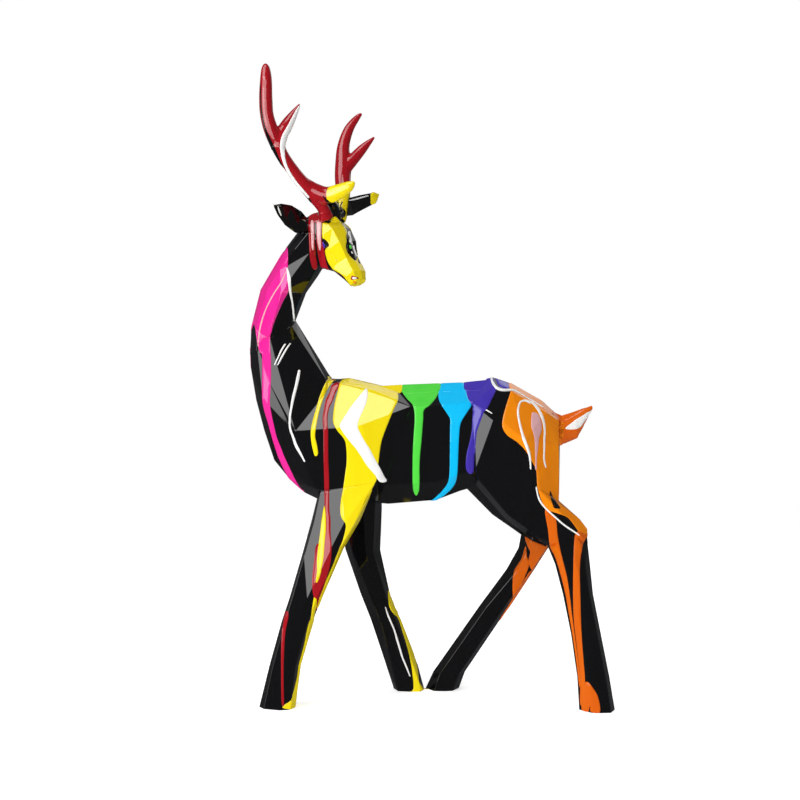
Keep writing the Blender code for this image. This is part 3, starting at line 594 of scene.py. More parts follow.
# threads and lines of paint, some of them painted highlights and painted shade: points down their middle (x,
# z) and half their width
nearThreads = [
    # painted highlight: a thin pale pink line along the neck's crease
    ("neckGlint", "highlightPink", 2, [
        (-99.5, 303.5, 0.3), (-104.4, 293.1, 0.5), (-108.6, 286.8, 0.5), (-112.5, 279.9, 0.5),
        (-115.4, 273.6, 0.5), (-118.1, 265.3, 0.6), (-119.9, 256.2, 0.5), (-120.6, 249.2, 0.3),
    ]),
    ("neckThread", "white", 2, [
        (-100.2, 303.5, 0.4), (-98.9, 297.9, 1.1), (-98.5, 291, 1), (-97.8, 285.4, 0.8), (-96.7, 279.9, 0.6),
        (-96, 273.6, 0.6), (-95.4, 266.7, 0.6),
    ]),
    # painted highlight: two thin white lines along the crease low on the neck
    ("neckEdgeHighlightA", "white", 1, [
        (-98.1, 251, 0.5), (-101.1, 246.8, 0.6), (-104.1, 241.6, 0.6), (-107, 236, 0.4),
    ]),
    ("neckEdgeHighlightB", "white", 1, [
        (-101.6, 250.6, 0.5), (-104.1, 246.8, 0.6), (-106.5, 241.6, 0.5), (-109.3, 236, 0.4),
    ]),
    ("neckDrip", "white", 1, [
        (-91.9, 232.1, 0.8), (-92.9, 226.9, 1.1), (-94.3, 220.6, 1), (-96.1, 213.6, 1), (-97.5, 206.6, 0.8),
        (-98.7, 198.9, 0.7), (-98.6, 191.8, 0.7), (-96.5, 185.5, 0.8), (-94.3, 179.2, 1), (-91.2, 173.6, 0.8),
        (-88.5, 168.3, 0.5),
    ]),
    ("squiggle", "white", 3, [
        (42.4, 229.7, 0.6), (42.1, 226.2, 0.7), (43.1, 222.7, 0.8), (45.9, 219.5, 0.8), (50.1, 218.2, 0.7),
        (54.3, 218.3, 0.6), (57.8, 217.9, 0.6), (62, 215.7, 0.4), (66.9, 212.6, 0.4), (72.5, 209.4, 0.4),
        (78.1, 205.9, 0.3),
    ]),
    ("loopLeft", "white", 2, [
        (69, 209, 0.5), (65.1, 210.9, 0.7), (62, 209.7, 0.7), (60.7, 205.5, 0.8), (60.6, 201, 0.8),
        (61.5, 196.1, 0.8), (62.8, 190.4, 0.9), (64.5, 184.8, 1), (66.7, 179.2, 1), (68.4, 174.3, 0.8),
        (69.3, 168.7, 0.6), (69.7, 163, 0.5),
    ]),
    ("loopRight", "white", 2, [
        (65.2, 211.1, 0.6), (69.7, 209.7, 0.8), (73.2, 206.6, 1), (76.1, 202, 1.1), (78.1, 196.8, 1),
        (79.1, 190.4, 0.8), (78.9, 183.4, 0.8), (78.8, 176.4, 0.7), (78.8, 169.4, 0.7), (80.1, 164.2, 0.6),
    ]),
    # painted highlight: a white line down the edge at the back of the thigh
    ("thighEdgeHighlight", "white", 2, [
        (73.6, 150.4, 0.4), (74.9, 144, 0.6), (77.4, 138.8, 0.6), (81.5, 134.1, 0.6), (86.9, 129.2, 0.6),
        (92.5, 124.2, 0.6), (98.1, 120.3, 0.6), (103.8, 116.5, 0.5),
    ]),
    # painted highlight: a white line down the far foreleg's shin
    ("farShinHighlight", "white", 1, [
        (-32, 65.4, 0.3), (-30.2, 59.7, 0.6), (-27.8, 54, 0.6), (-25.5, 48.3, 0.6), (-23.9, 42.6, 0.7),
        (-22, 36.2, 0.7), (-20.1, 29.8, 0.6), (-17.5, 23.4, 0.6), (-14.7, 16.2, 0.4),
    ]),
    ("wedgeTop", "white", 1, [
        (30.9, 209, 0.3), (34.8, 206.6, 0.5), (39, 204.2, 0.5), (42.5, 202.1, 0.3),
    ]),
    ("antlerLine", "white", 2, [
        (-91.1, 415.2, 0.6), (-93.2, 410.4, 1.5), (-95.7, 405, 1.8), (-98.7, 399.5, 1.8),
        (-101.5, 394.7, 1.8), (-102.8, 389.8, 1.8), (-103.1, 385, 1.5), (-102.3, 379.5, 1.2),
        (-100.6, 374, 1), (-97.9, 368.5, 1), (-94.1, 363, 0.9), (-89.6, 357.8, 0.8), (-85.1, 352.6, 0.7),
    ]),
    ("antlerShade", "black", 1, [
        (-94.6, 401.5, 0.3), (-97.1, 397.1, 0.6), (-98.9, 392.6, 0.7), (-99.5, 387.8, 0.5),
        (-99.3, 384.3, 0.3),
    ]),
    ("beamShade", "black", 1, [
        (-118, 430.3, 0.3), (-117.9, 420.7, 0.4), (-117.3, 411.1, 0.5), (-115.4, 401.2, 0.6),
        (-113, 394.4, 1), (-109.6, 386.4, 1.3), (-105.6, 377.7, 1), (-102.7, 372.9, 0.6),
    ]),
    ("beamShadeLow", "black", 1, [
        (-101, 372, 0.3), (-97.1, 366.5, 0.4), (-92.1, 359.9, 0.4), (-87.2, 354.4, 0.5), (-83.4, 349.1, 0.6),
    ]),
    # painted highlight: a thin white line at the eye's edge
    ("eyeEdgeHighlight", "white", 4, [
        (-54.5, 318.7, 0.3), (-54, 316, 0.4), (-53.1, 313.5, 0.4), (-52.4, 311.5, 0.3),
    ]),
    ("eyeGlint", "white", 4, [
        (-55.9, 314.6, 0.3), (-55.1, 313.3, 0.3),
    ]),
    ("cheekMark", "black", 2, [
        (-75.4, 323.6, 0.4), (-73.8, 322.4, 0.7), (-72.1, 320.4, 0.8), (-71.4, 318.6, 0.5),
    ]),
    ("browMark", "black", 3, [
        (-58.2, 324.8, 0.5), (-57.9, 323.2, 0.4),
    ]),
    # painted shade: a black line under the chin
    ("chinShade", "black", 2, [
        (-52.6, 290.4, 0.3), (-50.5, 290.2, 0.4), (-48.4, 290.9, 0.3), (-46.8, 292.4, 0.3),
    ]),
    ("earStreak", "white", 1, [
        (-106.4, 346.1, 0.3), (-105.3, 343, 0.6), (-104.1, 339.8, 0.3),
    ]),
    # painted highlight: a white line along the far ear's top edge
    ("farEarHighlight", "white", 1, [
        (-56.8, 350.3, 0.3), (-52.9, 351.1, 0.5), (-48.1, 352.4, 0.5), (-43.5, 353.6, 0.3),
    ]),
    ("rootCrack", "black", 2, [
        (-61.7, 349.2, 0.3), (-62.9, 346.4, 0.4), (-61.9, 343.7, 0.4), (-62.8, 340.2, 0.3),
    ]),
]
# the far side was never seen: the same pours, run down in their own way, as an eye behind sees them
farPours = [
    ("farNeckBand", "magenta", 1, [
        (-100, 318), (-105, 311), (-112, 298), (-118.4, 286), (-121.4, 272), (-124.8, 258), (-125.2, 246),
        (-123.2, 240), (-119.5, 243), (-118.5, 232), (-117.5, 215), (-115, 200), (-112, 194), (-110, 200),
        (-111, 215), (-112, 232), (-111.5, 246), (-109, 258), (-106, 270), (-101, 283), (-98, 296),
        (-98, 308),
    ]),
    ("farShoulderPour", "yellow", 1, [
        (-62, 227), (-64, 214), (-65.5, 200), (-63, 188), (-60, 178), (-59, 166), (-60, 154), (-59, 147),
        (-56.5, 143), (-54, 147), (-53, 158), (-51, 168), (-47, 176), (-43, 172), (-41, 160), (-40, 150),
        (-41, 138), (-44, 124), (-47, 112), (-46, 104), (-43, 100), (-40.5, 104), (-38.5, 118), (-36, 134),
        (-34, 150), (-33, 168), (-31, 184), (-27, 200), (-23, 211), (-20, 217), (-20.5, 222.5), (-36, 223.5),
        (-50, 225.5),
    ]),
    ("farGreenFunnel", "green", 1, [
        (-23, 222), (-19, 215), (-14, 209), (-11, 203), (-10.4, 190), (-10.8, 178), (-10, 171), (-7.6, 168),
        (-5, 171), (-4.4, 180), (-4.4, 192), (-3.4, 203), (1, 209), (5, 215), (6.4, 222.5), (4, 223.5),
        (-8, 223.5), (-20, 223),
    ]),
    ("farCyanFunnel", "cyan", 1, [
        (6.8, 223), (5.5, 215), (8, 209), (12, 204), (13.4, 196), (13, 180), (12.4, 166), (12, 154),
        (13.4, 148), (16, 146), (18.6, 149), (19, 158), (19.2, 172), (20, 190), (21.4, 201), (25, 207),
        (27, 213), (24.6, 223), (22, 224.5), (10, 224),
    ]),
    ("farVioletPool", "violet", 1, [
        (23.6, 223), (26, 214), (29, 208), (31.4, 200), (32.4, 190), (33, 184), (35.4, 181), (38, 184),
        (38.4, 192), (39, 200), (42, 206), (46, 212), (48, 220), (46, 227), (38, 226.5), (28, 224.5),
    ]),
    ("farRumpPour", "orange", 1, [
        (58, 219), (60, 208), (58, 198), (57, 188), (61, 179), (67, 171), (71, 160), (73, 148), (72, 138),
        (71, 128), (72.5, 118), (75, 113.5), (77.5, 117), (78.5, 128), (79, 136), (81, 141), (83.4, 136),
        (85, 126), (86.4, 117), (88.4, 110), (90.6, 114), (90, 124), (91, 140), (93, 160), (93, 180),
        (93, 199), (84, 207), (72, 215), (62, 221),
    ]),
    ("farTailPour", "rust", 1, [
        (90, 200.5), (98, 200), (107, 203), (115, 207.5), (113, 201), (108, 191), (102, 183), (96, 180),
        (90.5, 179), (88, 190),
    ]),
    # painted highlight: the same white film on the tail, on this side
    ("farTailHighlight", "white", 2, [
        (96, 191), (103, 196), (111, 203.5), (108, 195), (103, 188.5), (98, 187.5),
    ]),
    ("farFacePour", "yellow", 1, [
        (-57, 333), (-54, 326), (-51, 316), (-49, 309), (-45, 302), (-44, 295), (-48, 291.5), (-54, 291.5),
        (-59, 295), (-63, 299), (-66, 304), (-64, 310), (-61, 315), (-61, 321), (-64, 328), (-62, 334),
    ]),
    ("farEye", "black", 2, [
        (-54.6, 319.6), (-57.6, 318.6), (-61, 315), (-63.4, 311.4), (-60, 311), (-56.4, 314),
    ]),
    ("farCheek", "red", 1, [
        (-70, 335), (-73, 326), (-75, 318), (-76, 311), (-78.4, 307.5), (-80.4, 311), (-80.4, 319),
        (-79.6, 328), (-78, 336),
    ]),
]
farThreads = [
    ("farNeckThread", "white", 1, [
        (-101, 262, 0.5), (-100.4, 250, 0.8), (-98.8, 238, 0.9), (-97.4, 226, 1), (-96.8, 217, 0.8),
    ]),
    ("farRedDrip", "red", 1, [
        (-69, 226, 2.2), (-73.6, 216, 2.1), (-76.5, 200, 1.6), (-77, 180, 1.5), (-76, 162, 1.5),
        (-73.6, 150, 1.6), (-69.6, 138, 1.8), (-64.6, 124, 2), (-61, 113, 2.5), (-59, 106, 1.5),
    ]),
    ("farYellowThread", "yellow", 1, [
        (-71, 227, 1.4), (-79, 215, 1.3), (-84, 201, 1.2), (-84.8, 188, 1.3), (-84.2, 178, 1.6),
        (-83.8, 173, 1.3),
    ]),
    ("farShankPour", "rust", 1, [
        (80, 118, 2.4), (78, 106, 2.5), (72, 94, 2.1), (64, 80, 1.9), (55, 66, 1.8), (46, 52, 2.1),
        (41.6, 45.6, 2.5), (39.6, 42, 1.6),
    ]),
    ("innerShankPour", "rust", 1, [
        (96, 127, 2), (98, 112, 1.9), (100.5, 92, 1.8), (103, 70, 1.8), (105, 50, 2.2), (105.6, 45, 1.2),
    ]),
    ("farShinStripe", "yellow", 1, [
        (-53, 101, 1.2), (-47, 84, 1.7), (-41.5, 66, 1.7), (-35.5, 48, 1.7), (-29.5, 32, 1.8), (-25, 19, 2.4),
        (-23, 12, 1.8),
    ]),
    ("innerShinRed", "red", 1, [
        (-83, 104, 1.2), (-88.6, 84, 1.5), (-93, 64, 1.5), (-96.6, 46, 2), (-98, 38.5, 1.4),
    ]),
    ("farRumpLine", "white", 2, [
        (66, 204, 0.6), (64, 196, 0.8), (64.6, 186, 0.9), (69, 177, 0.9), (75, 168, 0.9), (80, 156, 0.8),
        (82, 146, 0.6),
    ]),
    ("farEyeGlint", "white", 3, [
        (-57.2, 317, 0.3), (-58.8, 315.4, 0.5), (-60, 314, 0.3),
    ]),
]
# the band round the front of the neck, as an eye ahead of the statue sees it: (y, z)
frontPours = [
    ("frontNeckBand", "magenta", 1.5, [
        (-4, 316), (-3, 306), (0, 290), (1, 278), (1.6, 270), (3, 264.5), (5, 262), (6.6, 258), (7.2, 248),
        (7.6, 238), (8.6, 231), (10, 228.5), (11.6, 231), (12.6, 240), (12.8, 252), (12.2, 266), (11, 282),
        (9.5, 296), (7, 306), (4, 316),
    ]),
]
# the same pours between the hind legs, as an eye behind the statue sees them: (y, z)
rearPours = [
    ("rearOrange", "orange", 1.5, [
        (-17.5, 182), (-12, 184), (-6, 183.5), (0, 181.5), (6, 181), (12, 181.5), (18, 183.5), (25, 185),
        (30, 184), (33, 178), (33.6, 165), (33.6, 152), (33.2, 142), (31.8, 134), (28.6, 128), (25.8, 130.5),
        (23.6, 137), (21.8, 148), (20.3, 158), (18.7, 166), (15, 171), (10, 173.3), (5, 173.8), (0, 173.2),
        (-5, 170.8), (-8, 165), (-9.8, 156), (-11.2, 147), (-13.6, 141.5), (-16.4, 139), (-19, 142),
        (-20.4, 150), (-20, 163), (-19, 174),
    ]),
    ("rearShank", "rust", 1.5, [
        (26, 109), (29, 111.5), (33.5, 110), (37, 104), (38, 94), (37.6, 82), (38.2, 70), (38, 60),
        (36.6, 52.5), (34.8, 60), (33.8, 68), (31, 71), (29, 78), (28.4, 88), (27, 100),
    ]),
]
# the near foreleg's pours, run round to its back, as the same eye sees them past the hind legs
forePours = [
    ("foreArm", "yellow", 1.5, [
        (-30.6, 152.6), (-31.8, 149.5), (-32.5, 142), (-33.1, 136), (-33.3, 130), (-33, 124), (-32.4, 116),
        (-31.6, 106), (-31, 94), (-30.2, 86), (-29.2, 78), (-27.4, 71.5), (-25.4, 71), (-23.2, 75),
        (-20.8, 82), (-18.8, 91), (-17.6, 100), (-16.8, 110), (-16.9, 120), (-16.4, 129), (-16.8, 136),
        (-18.8, 140.5), (-22, 144), (-25.6, 147.6), (-28.4, 151.4),
    ]),
    ("foreShin", "yellow", 1.5, [
        (-29.2, 67), (-32.2, 62), (-31.4, 55), (-29.4, 48), (-28.8, 34), (-28.8, 20), (-30.4, 12), (-32.4, 6),
        (-33.6, 1.6), (-32, 0.7), (-28, 0.7), (-22, 0.7), (-17.8, 1.2), (-17.4, 5), (-18.6, 12), (-19, 24),
        (-18.4, 36), (-18.8, 46), (-20.4, 55), (-23.2, 61), (-26.4, 65.6),
    ]),
]
# the pours' crowns over the ridge of the back, as an eye above sees them: (x, y)
topPours = [
    ("topYellow", "yellow", 1.5, [
        (-62, -5), (-63, 4), (-62, 13), (-50, 15), (-34, 15), (-22, 13), (-21, 5), (-23, -4), (-34, -6),
        (-50, -6),
    ]),
    ("topGreen", "green", 1.5, [
        (-20, -4), (-21.5, 5), (-20, 13), (-8, 15), (5, 13), (6.8, 5), (5.4, -4), (-8, -6),
    ]),
    ("topCyan", "cyan", 1.5, [
        (7.6, -4), (7, 5), (7.6, 13), (15, 15), (22.6, 13), (23.8, 5), (23, -4), (15, -6),
    ]),
    ("topViolet", "violet", 1.5, [
        (24.8, -4), (24, 5), (25, 13), (33, 15), (43, 13), (46, 6), (43.5, -2), (34, -6),
    ]),
    ("topOrange", "orange", 1.5, [
        (58, -5), (57.6, 5), (60, 15), (70, 17), (80, 16), (88, 12), (91, 5), (88, -4), (80, -8), (68, -8),
    ]),
    ("topTail", "rust", 1.5, [
        (88, 1), (93, 0), (102, 1.4), (109, 3), (113, 3.9), (114.6, 5.5), (113, 7), (108, 8), (101, 9.4),
        (93, 10.4), (88, 10),
    ]),
]


def insideAndDistance(points, line):
    # signed distance of each point to a closed line, positive inside
    ends = np.roll(line, -1, axis=0)
    run = ends - line
    length2 = (run ** 2).sum(1) + 1e-12
    best = np.full(len(points), 1e9)
    crossings = np.zeros(len(points), int)
    for start, way, l2, end in zip(line, run, length2, ends):
        t = np.clip(((points - start) @ way) / l2, 0, 1)
        gap = points - start - t[:, None] * way
        best = np.minimum(best, (gap ** 2).sum(1))
        spans = (start[1] > points[:, 1]) != (end[1] > points[:, 1])
        if spans.any():
            level = np.where(spans, (points[:, 1] - start[1]) / (way[1] if way[1] else 1e-12), 0)
            crossings += spans & (points[:, 0] < start[0] + level * way[0])
    return np.where(crossings % 2 == 1, 1, -1) * np.sqrt(best)


def threadOutline(path):
    # the outline round a thread: one side down, its round end, the other side up
    rows = np.array(path, float)
    line = smoothLine(rows, pouring["threadSteps"])
    run = np.gradient(line[:, :2], axis=0)
    run /= np.sqrt((run ** 2).sum(1))[:, None]
    side = np.column_stack([-run[:, 1], run[:, 0]])
    half = np.maximum(line[:, 2], pouring["thinnest"])[:, None]
    start = line[0, :2] - run[0] * half[0]
    end = line[-1, :2] + run[-1] * half[-1]
    return np.vstack([line[:, :2] + side * half, end, (line[:, :2] - side * half)[::-1], start])


def closedLine(outline, step):
    # an outline already close-set, at even steps
    closed = np.vstack([outline, outline[0]])
    along = np.concatenate([[0], np.cumsum(np.sqrt((np.diff(closed, axis=0) ** 2).sum(1)))])
    count = max(8, int(round(along[-1] / step)))
    marks = np.linspace(0, along[-1], count, endpoint=False)
    return np.column_stack([np.interp(marks, along, closed[:, i]) for i in (0, 1)])


def wayTo(view, spot):
    return (view["across"] * (spot[0] * mm) + view["up"] * (spot[1] * mm) - view["eye"]).normalized()


def onPlane(view, point):
    way = point - view["eye"]
    spot = view["eye"] - way * (view["eye"].dot(view["axis"]) / way.dot(view["axis"]))
    return np.array([spot.dot(view["across"]) / mm, spot.dot(view["up"]) / mm])


def landing(skin, view, spot, depth):
    # where the paint lies: on the surface behind the spot, or wrapped round the edge beyond which the spot is
    eye, axis = view["eye"], view["axis"]
    way = wayTo(view, spot)
    ahead = 1 if way.dot(axis) > 0 else -1
    hit = skin.ray_cast(eye, way)[0]
    while hit is not None and (hit.dot(axis) - depth) * ahead < -pouring["reach"] * mm:
        hit = skin.ray_cast(hit + way * pouring["past"] * mm, way)[0]
    if hit is not None and abs(hit.dot(axis) - depth) < pouring["reach"] * mm:
        return hit
    point = eye + way * ((depth - eye.dot(axis)) / way.dot(axis))
    for turn in range(pouring["foldTurns"]):
        rim = skin.find_nearest(point)[0]
        point = eye + way * (rim - eye).dot(way)
    return skin.find_nearest(rim + way * ((point - rim).length * view["fold"]))[0]


def creaseLines(skin, view):
    # the casting's visible creases on the picture plane, in short lengths
    lines = []
    for a, b in creases:
        count = max(1, int((b - a).length / (pouring["creaseStep"] * mm)))
        for i in range(count):
            start, end = a.lerp(b, i / count), a.lerp(b, (i + 1) / count)
            middle = (start + end) / 2
            way = (middle - view["eye"]).normalized()
            look = view["eye"] if view["level"] is None else middle - way * pouring["reach"] * mm
            hit = skin.ray_cast(look, way)[0]
            if hit is None or (hit - look).length > (middle - look).length - pouring["creaseSeen"] * mm:
                lines.append((onPlane(view, start), onPlane(view, end)))
    return np.array(lines)


def settled(skin, base, tris, deep, creased, longest):
    # where the casting runs away from the eye a film's edges come out long: they are split and laid again
    work = bmesh.new()
    depth = work.verts.layers.float.new("deep")
    corners = [work.verts.new(place) for place in base]
    for corner, value in zip(corners, deep):
        corner[depth] = value
    for tri in tris:
        work.faces.new([corners[i] for i in tri])
    for a, b in creased:
        edge = work.edges.get((corners[a], corners[b]))
        if edge:
            edge.smooth = False
    for turn in range(pouring["splits"]):
        long = [edge for edge in work.edges if edge.calc_length() > longest]
        if not long:
            break
        new = bmesh.ops.subdivide_edges(work, edges=long, cuts=1)["geom_inner"]
        for vertex in new:
            if isinstance(vertex, bmesh.types.BMVert):
                vertex.co = skin.find_nearest(vertex.co)[0]
        bmesh.ops.triangulate(work, faces=work.faces[:])
    loose = [vertex for vertex in work.verts if not vertex.link_faces]
    bmesh.ops.delete(work, geom=loose, context="VERTS")
    work.verts.index_update()
    base = np.array([list(vertex.co) for vertex in work.verts])
    deep = np.array([vertex[depth] for vertex in work.verts])
    tris = np.array([[vertex.index for vertex in face.verts] for face in work.faces])
    creased = [(edge.verts[0].index, edge.verts[1].index) for edge in work.edges if not edge.smooth]
    work.free()
    return base, tris, deep, creased


def pourFilm(skin, view, lines, rim, layer, step):
    # meshed flat from its rim, a line close inside it, rows of points and creases, then laid on the casting
    rim = closedLine(rim, step)
    low, high = rim.min(0), rim.max(0)
    gap = pouring["spacing"] * step / pouring["step"]
    columns = np.arange(low[0], high[0] + gap, gap)
    rows = np.arange(low[1], high[1] + gap, gap * pouring["rowRise"])
    grid = np.array([(x + (0.5 * gap if j % 2 else 0), z) for j, z in enumerate(rows) for x in columns])
    grid = grid[insideAndDistance(grid, rim) > pouring["rimClear"] * gap]
    side = np.roll(rim, -1, axis=0) - np.roll(rim, 1, axis=0)
    side = np.column_stack([-side[:, 1], side[:, 0]]) / (np.sqrt((side ** 2).sum(1))[:, None] + 1e-9)
    turned = 1 if insideAndDistance(rim + side * pouring["probe"], rim).mean() > 0 else -1
    inner = rim + side * turned * pouring["innerLine"] * step
    inner = inner[insideAndDistance(inner, rim) > pouring["innerClear"] * step]
    corners = [Vector(p) for p in rim]
    edges = [(i, (i + 1) % len(rim)) for i in range(len(rim))]
    kept = len(edges)
    if len(lines):
        ends = lines.reshape(-1, 2)
        deep = insideAndDistance(ends, rim).reshape(-1, 2)
        for (a, b), (da, db) in zip(lines, deep):
            if min(da, db) > pouring["creaseDeep"]:
                edges.append((len(corners), len(corners) + 1))
                corners += [Vector(a), Vector(b)]
        if len(edges) > kept and len(grid):
            crease = np.array([list(c) for c in corners[len(rim):]]).reshape(-1, 2, 2)
            clear = np.ones(len(grid), bool)
            for a, b in crease:
                run = b - a
                t = np.clip(((grid - a) @ run) / ((run ** 2).sum() + 1e-12), 0, 1)
                clear &= ((grid - a - t[:, None] * run) ** 2).sum(1) > (pouring["creaseClear"] * gap) ** 2
            grid = grid[clear]
    corners += [Vector(p) for p in inner] + [Vector(p) for p in grid]
    flat, flatEdges, faces, _, fromEdge, _ = delaunay_2d_cdt(corners, edges, [], 1, 1e-4)
    spots = np.array([list(v) for v in flat])
    deep = np.maximum(insideAndDistance(spots, rim), 0)
    creased = [edge for edge, old in zip(flatEdges, fromEdge) if any(i >= kept for i in old)]
    some = slice(None, None, pouring["sampled"])
    sample = [spot for spot, d in zip(spots[some], deep[some]) if d > pouring["creaseDeep"]]
    hits = [skin.ray_cast(view["eye"], wayTo(view, spot))[0] for spot in sample]
    depths = [hit.dot(view["axis"]) for hit in hits if hit is not None]
    depth = float(np.median(depths)) if depths else 0
    if view["level"] is not None:
        depth = view["level"] * mm
    base = np.array([list(landing(skin, view, spot, depth)) for spot in spots])
    tris = np.array([face for face in faces if len(face) == 3])
    if view["across"].cross(view["up"]).dot(view["eye"]) < 0:
        tris = tris[:, ::-1]
    return (*settled(skin, base, tris, deep, creased, pouring["longest"] * gap * mm), layer)


def thicken(base, tris, deep, layer):
    # a film's top, domed towards its rim, its back a little inside the casting, and the wall between them
    a, b, c = base[tris[:, 0]], base[tris[:, 1]], base[tris[:, 2]]
    facing = np.cross(b - a, c - a)
    normals = np.zeros_like(base)
    for i in range(3):
        np.add.at(normals, tris[:, i], facing)
    normals /= np.sqrt((normals ** 2).sum(1))[:, None] + 1e-15
    share = 1 - np.clip(deep / pouring["bead"], 0, 1)
    height = (layer - 1) * pouring["layer"] + pouring["film"] * np.sqrt(np.maximum(1 - share ** 2, 0))
    top = base + normals * (height * mm)[:, None]
    under = base - normals * pouring["sunk"] * mm
    count = len(base)
    used = {}
    for tri in tris:
        for i in range(3):
            used[(tri[i], tri[(i + 1) % 3])] = True
    walls = []
    for (i, j) in used:
        if (j, i) not in used:
            walls.append((i, i + count, j + count, j))
    faces = [tuple(t) for t in tris] + [tuple(t[::-1] + count) for t in tris] + walls
    return np.vstack([top, under]), faces


stencil = bmesh.new()
for piece in [deer] + antlerPieces:
    stencil.from_mesh(piece.data)
bmesh.ops.triangulate(stencil, faces=stencil.faces)
skin = BVHTree.FromBMesh(stencil)
stencil.free()
views = {}
for side, (eye, across, up, fold, level) in pourSides.items():
    across, up = Vector(across), Vector(up)
    views[side] = {"eye": Vector(eye) * mm, "across": across, "up": up, "axis": across.cross(up),
                   "fold": fold, "level": level}
films = {}
for side, pours, threads in (("near", nearPours, nearThreads), ("far", farPours, farThreads),
                             ("front", frontPours, []), ("rear", rearPours, []), ("fore", forePours, []),
                             ("top", topPours, [])):
    view = views[side]
    lines = creaseLines(skin, view)
    shapes = [(colour, layer, smoothLine(outline, pouring["outlineSteps"], closed=True), pouring["step"])
              for name, colour, layer, outline in pours]
    shapes += [(colour, layer, threadOutline(path), pouring["threadStep"])
               for name, colour, layer, path in threads]
    for colour, layer, rim, step in shapes:
        films.setdefault(colour, []).append(pourFilm(skin, view, lines, rim, layer, step))
    count = sum(len(film[1]) for group in films.values() for film in group)
    print("poured", len(shapes), "films from the", side + ",", count, "faces so far")
paintPieces = []
for colour, group in films.items():
    corners, faces, sharp = [], [], []
    for base, tris, deep, creased, layer in group:
        more, moreFaces = thicken(base, tris, deep, layer)
        offset = len(corners)
        corners += [tuple(place) for place in more]
        faces += [tuple(int(i) + offset for i in face) for face in moreFaces]
        sharp += [(a + offset, b + offset) for a, b in creased]
    piece = meshPiece("poured_" + colour, corners, faces)
    for polygon in piece.data.polygons:
        polygon.use_smooth = True
    sharpSet = {tuple(sorted(ends)) for ends in sharp}
    for edge in piece.data.edges:
        if tuple(sorted(edge.vertices)) in sharpSet:
            edge.use_edge_sharp = True
    piece.data.materials.append(finishes[colour])
    paintPieces.append(piece)
print("paint made")

# the casting's own edges are rounded last, so that the pours sit on its true facets
applyModifier(deer, "BEVEL", width=casting["edge"] * mm, segments=casting["edgeRings"],
              limit_method="ANGLE", angle_limit=math.radians(casting["edgeAngle"]), use_clamp_overlap=False)
pickOnly(deer)
bpy.ops.object.shade_smooth_by_angle(angle=math.radians(casting["smoothBelow"]))


# riding
for piece in [deer] + antlerPieces + paintPieces:
    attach(piece, "root")
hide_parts("deer")

# studio
studio = {
    "lens": 109.7,
    "pitch": 85.0,   # degrees up from looking straight down
    "floorHalf": 0.8,  # metres
    "sensor": 36,
    "paper": "#fbfbfa",
    "paperRough": 0.9,
    "glow": 0.55,    # the paper's own light, so that it stays white
    "roomColour": (0.9, 0.92, 0.95, 1),  # what the gloss shows where no lamp is
    "roomLight": 0.08,
}
# soft boxes: degrees round from the camera's side, degrees up, then in metres how far off, the height
# they are aimed at, their width and height, and last their brightness
softBoxes = {
    "soft_box_left": (-40, 10, 1.1, 0.22, 0.40, 0.46, 3.0),
    "soft_box_high": (-52, 42, 1.1, 0.22, 0.85, 0.60, 3.2),
    "strip_left": (-78, -3, 1.1, 0.22, 0.52, 0.24, 2.4),
    "soft_box_top": (-38, 71, 1.1, 0.22, 0.55, 0.36, 3.2),
    "strip_back": (151, 32, 1.1, 0.22, 0.9, 0.68, 0.7),
}
antlerBox = (-32, -2, 1.1, 0.42, 1.6, 1.0, 3.0)  # seen by the antlers' gloss alone
fills = {
    "fill_front": (-6, 20, 2.6, 0.20, 2.6, 2.0, 1.6),
    "fill_above": (170, 65, 2.6, 0.20, 2.6, 2.0, 1.7),
}
pickNothing()
bpy.ops.mesh.primitive_plane_add(size=2 * studio["floorHalf"], location=(0, 0, 0))
floor = bpy.context.object
floor.name = "studio_floor"
paper = bpy.data.materials.new("white_paper_sweep")
paper.use_nodes = True
paperShader = paper.node_tree.nodes["Principled BSDF"]
paperShader.inputs["Base Color"].default_value = linear(studio["paper"])
paperShader.inputs["Roughness"].default_value = studio["paperRough"]
paperShader.inputs["Specular IOR Level"].default_value = 0.0
paperShader.inputs["Emission Color"].default_value = (1, 1, 1, 1)
paperShader.inputs["Emission Strength"].default_value = studio["glow"]
floor.data.materials.append(paper)
floor.visible_glossy = False

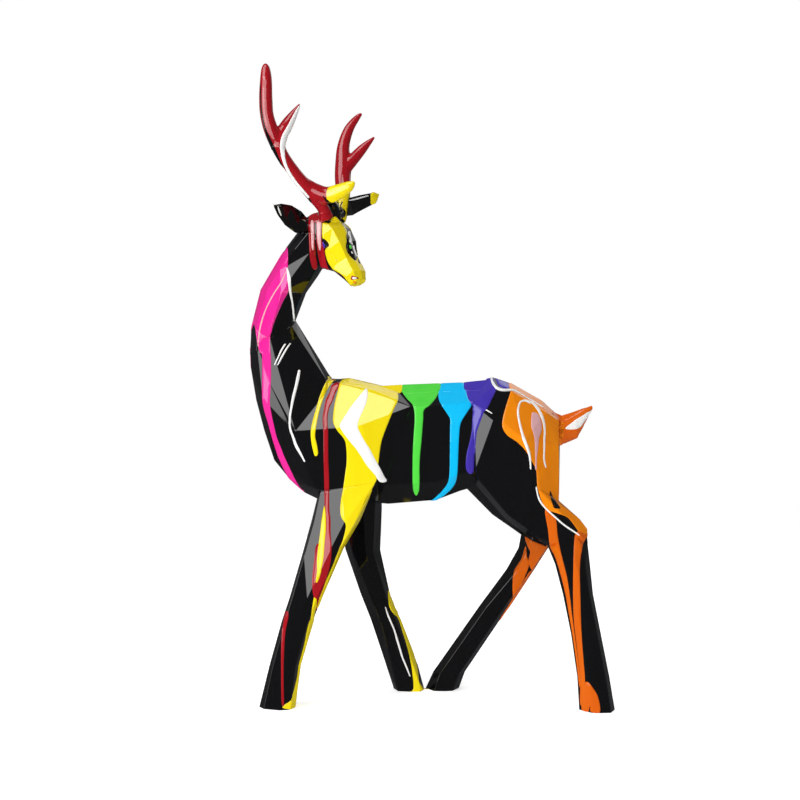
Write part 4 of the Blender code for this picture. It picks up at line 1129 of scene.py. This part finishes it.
bpy.ops.object.camera_add(location=views["near"]["eye"], rotation=(math.radians(studio["pitch"]), 0, 0))
camera = bpy.context.object
camera.data.lens = studio["lens"]
camera.data.sensor_width = studio["sensor"]
bpy.context.scene.camera = camera
bpy.context.scene.view_settings.view_transform = "Standard"


def addLight(name, around, up, away, aim, width, height, brightness, seenInGloss):
    turn, rise = math.radians(around), math.radians(up)
    way = Vector((math.sin(turn) * math.cos(rise), -math.cos(turn) * math.cos(rise), math.sin(rise)))
    bpy.ops.object.light_add(type="AREA", location=way * away + Vector((0, 0, aim)))
    lamp = bpy.context.object
    lamp.name = name
    lamp.data.shape = "RECTANGLE"
    lamp.data.size = width
    lamp.data.size_y = height
    lamp.data.energy = brightness * math.pi * width * height  # a bigger box is as bright in the gloss
    lamp.rotation_euler = (-way).to_track_quat("-Z", "Y").to_euler()
    lamp.visible_glossy = seenInGloss
    return lamp


for name, values in softBoxes.items():
    addLight(name, *values, True)
for name, values in fills.items():
    addLight(name, *values, False)

# the antlers' round tubes have a box of their own, which the flat facets don't show
lamp = addLight("soft_box_antlers", *antlerBox, True)
lamp.visible_diffuse = False
lit = bpy.data.collections.new("antlers_lit")
for piece in antlerPieces[:4]:
    lit.objects.link(piece)
lamp.light_linking.receiver_collection = lit

# behind the floor it is white to the camera, and dim to all else
world = bpy.context.scene.world or bpy.data.worlds.new("studio")
bpy.context.scene.world = world
world.use_nodes = True
world.node_tree.nodes.clear()
path = addNode(world.node_tree, "ShaderNodeLightPath")
dim = addNode(world.node_tree, "ShaderNodeBackground",
              {"Color": studio["roomColour"], "Strength": studio["roomLight"]})
bright = addNode(world.node_tree, "ShaderNodeBackground", {"Color": (1, 1, 1, 1), "Strength": 1.0})
either = addNode(world.node_tree, "ShaderNodeMixShader", None, {"Fac": path.outputs["Is Camera Ray"]})
world.node_tree.links.new(dim.outputs[0], either.inputs[1])
world.node_tree.links.new(bright.outputs[0], either.inputs[2])
addNode(world.node_tree, "ShaderNodeOutputWorld", None, {"Surface": either.outputs[0]})
print("studio made")
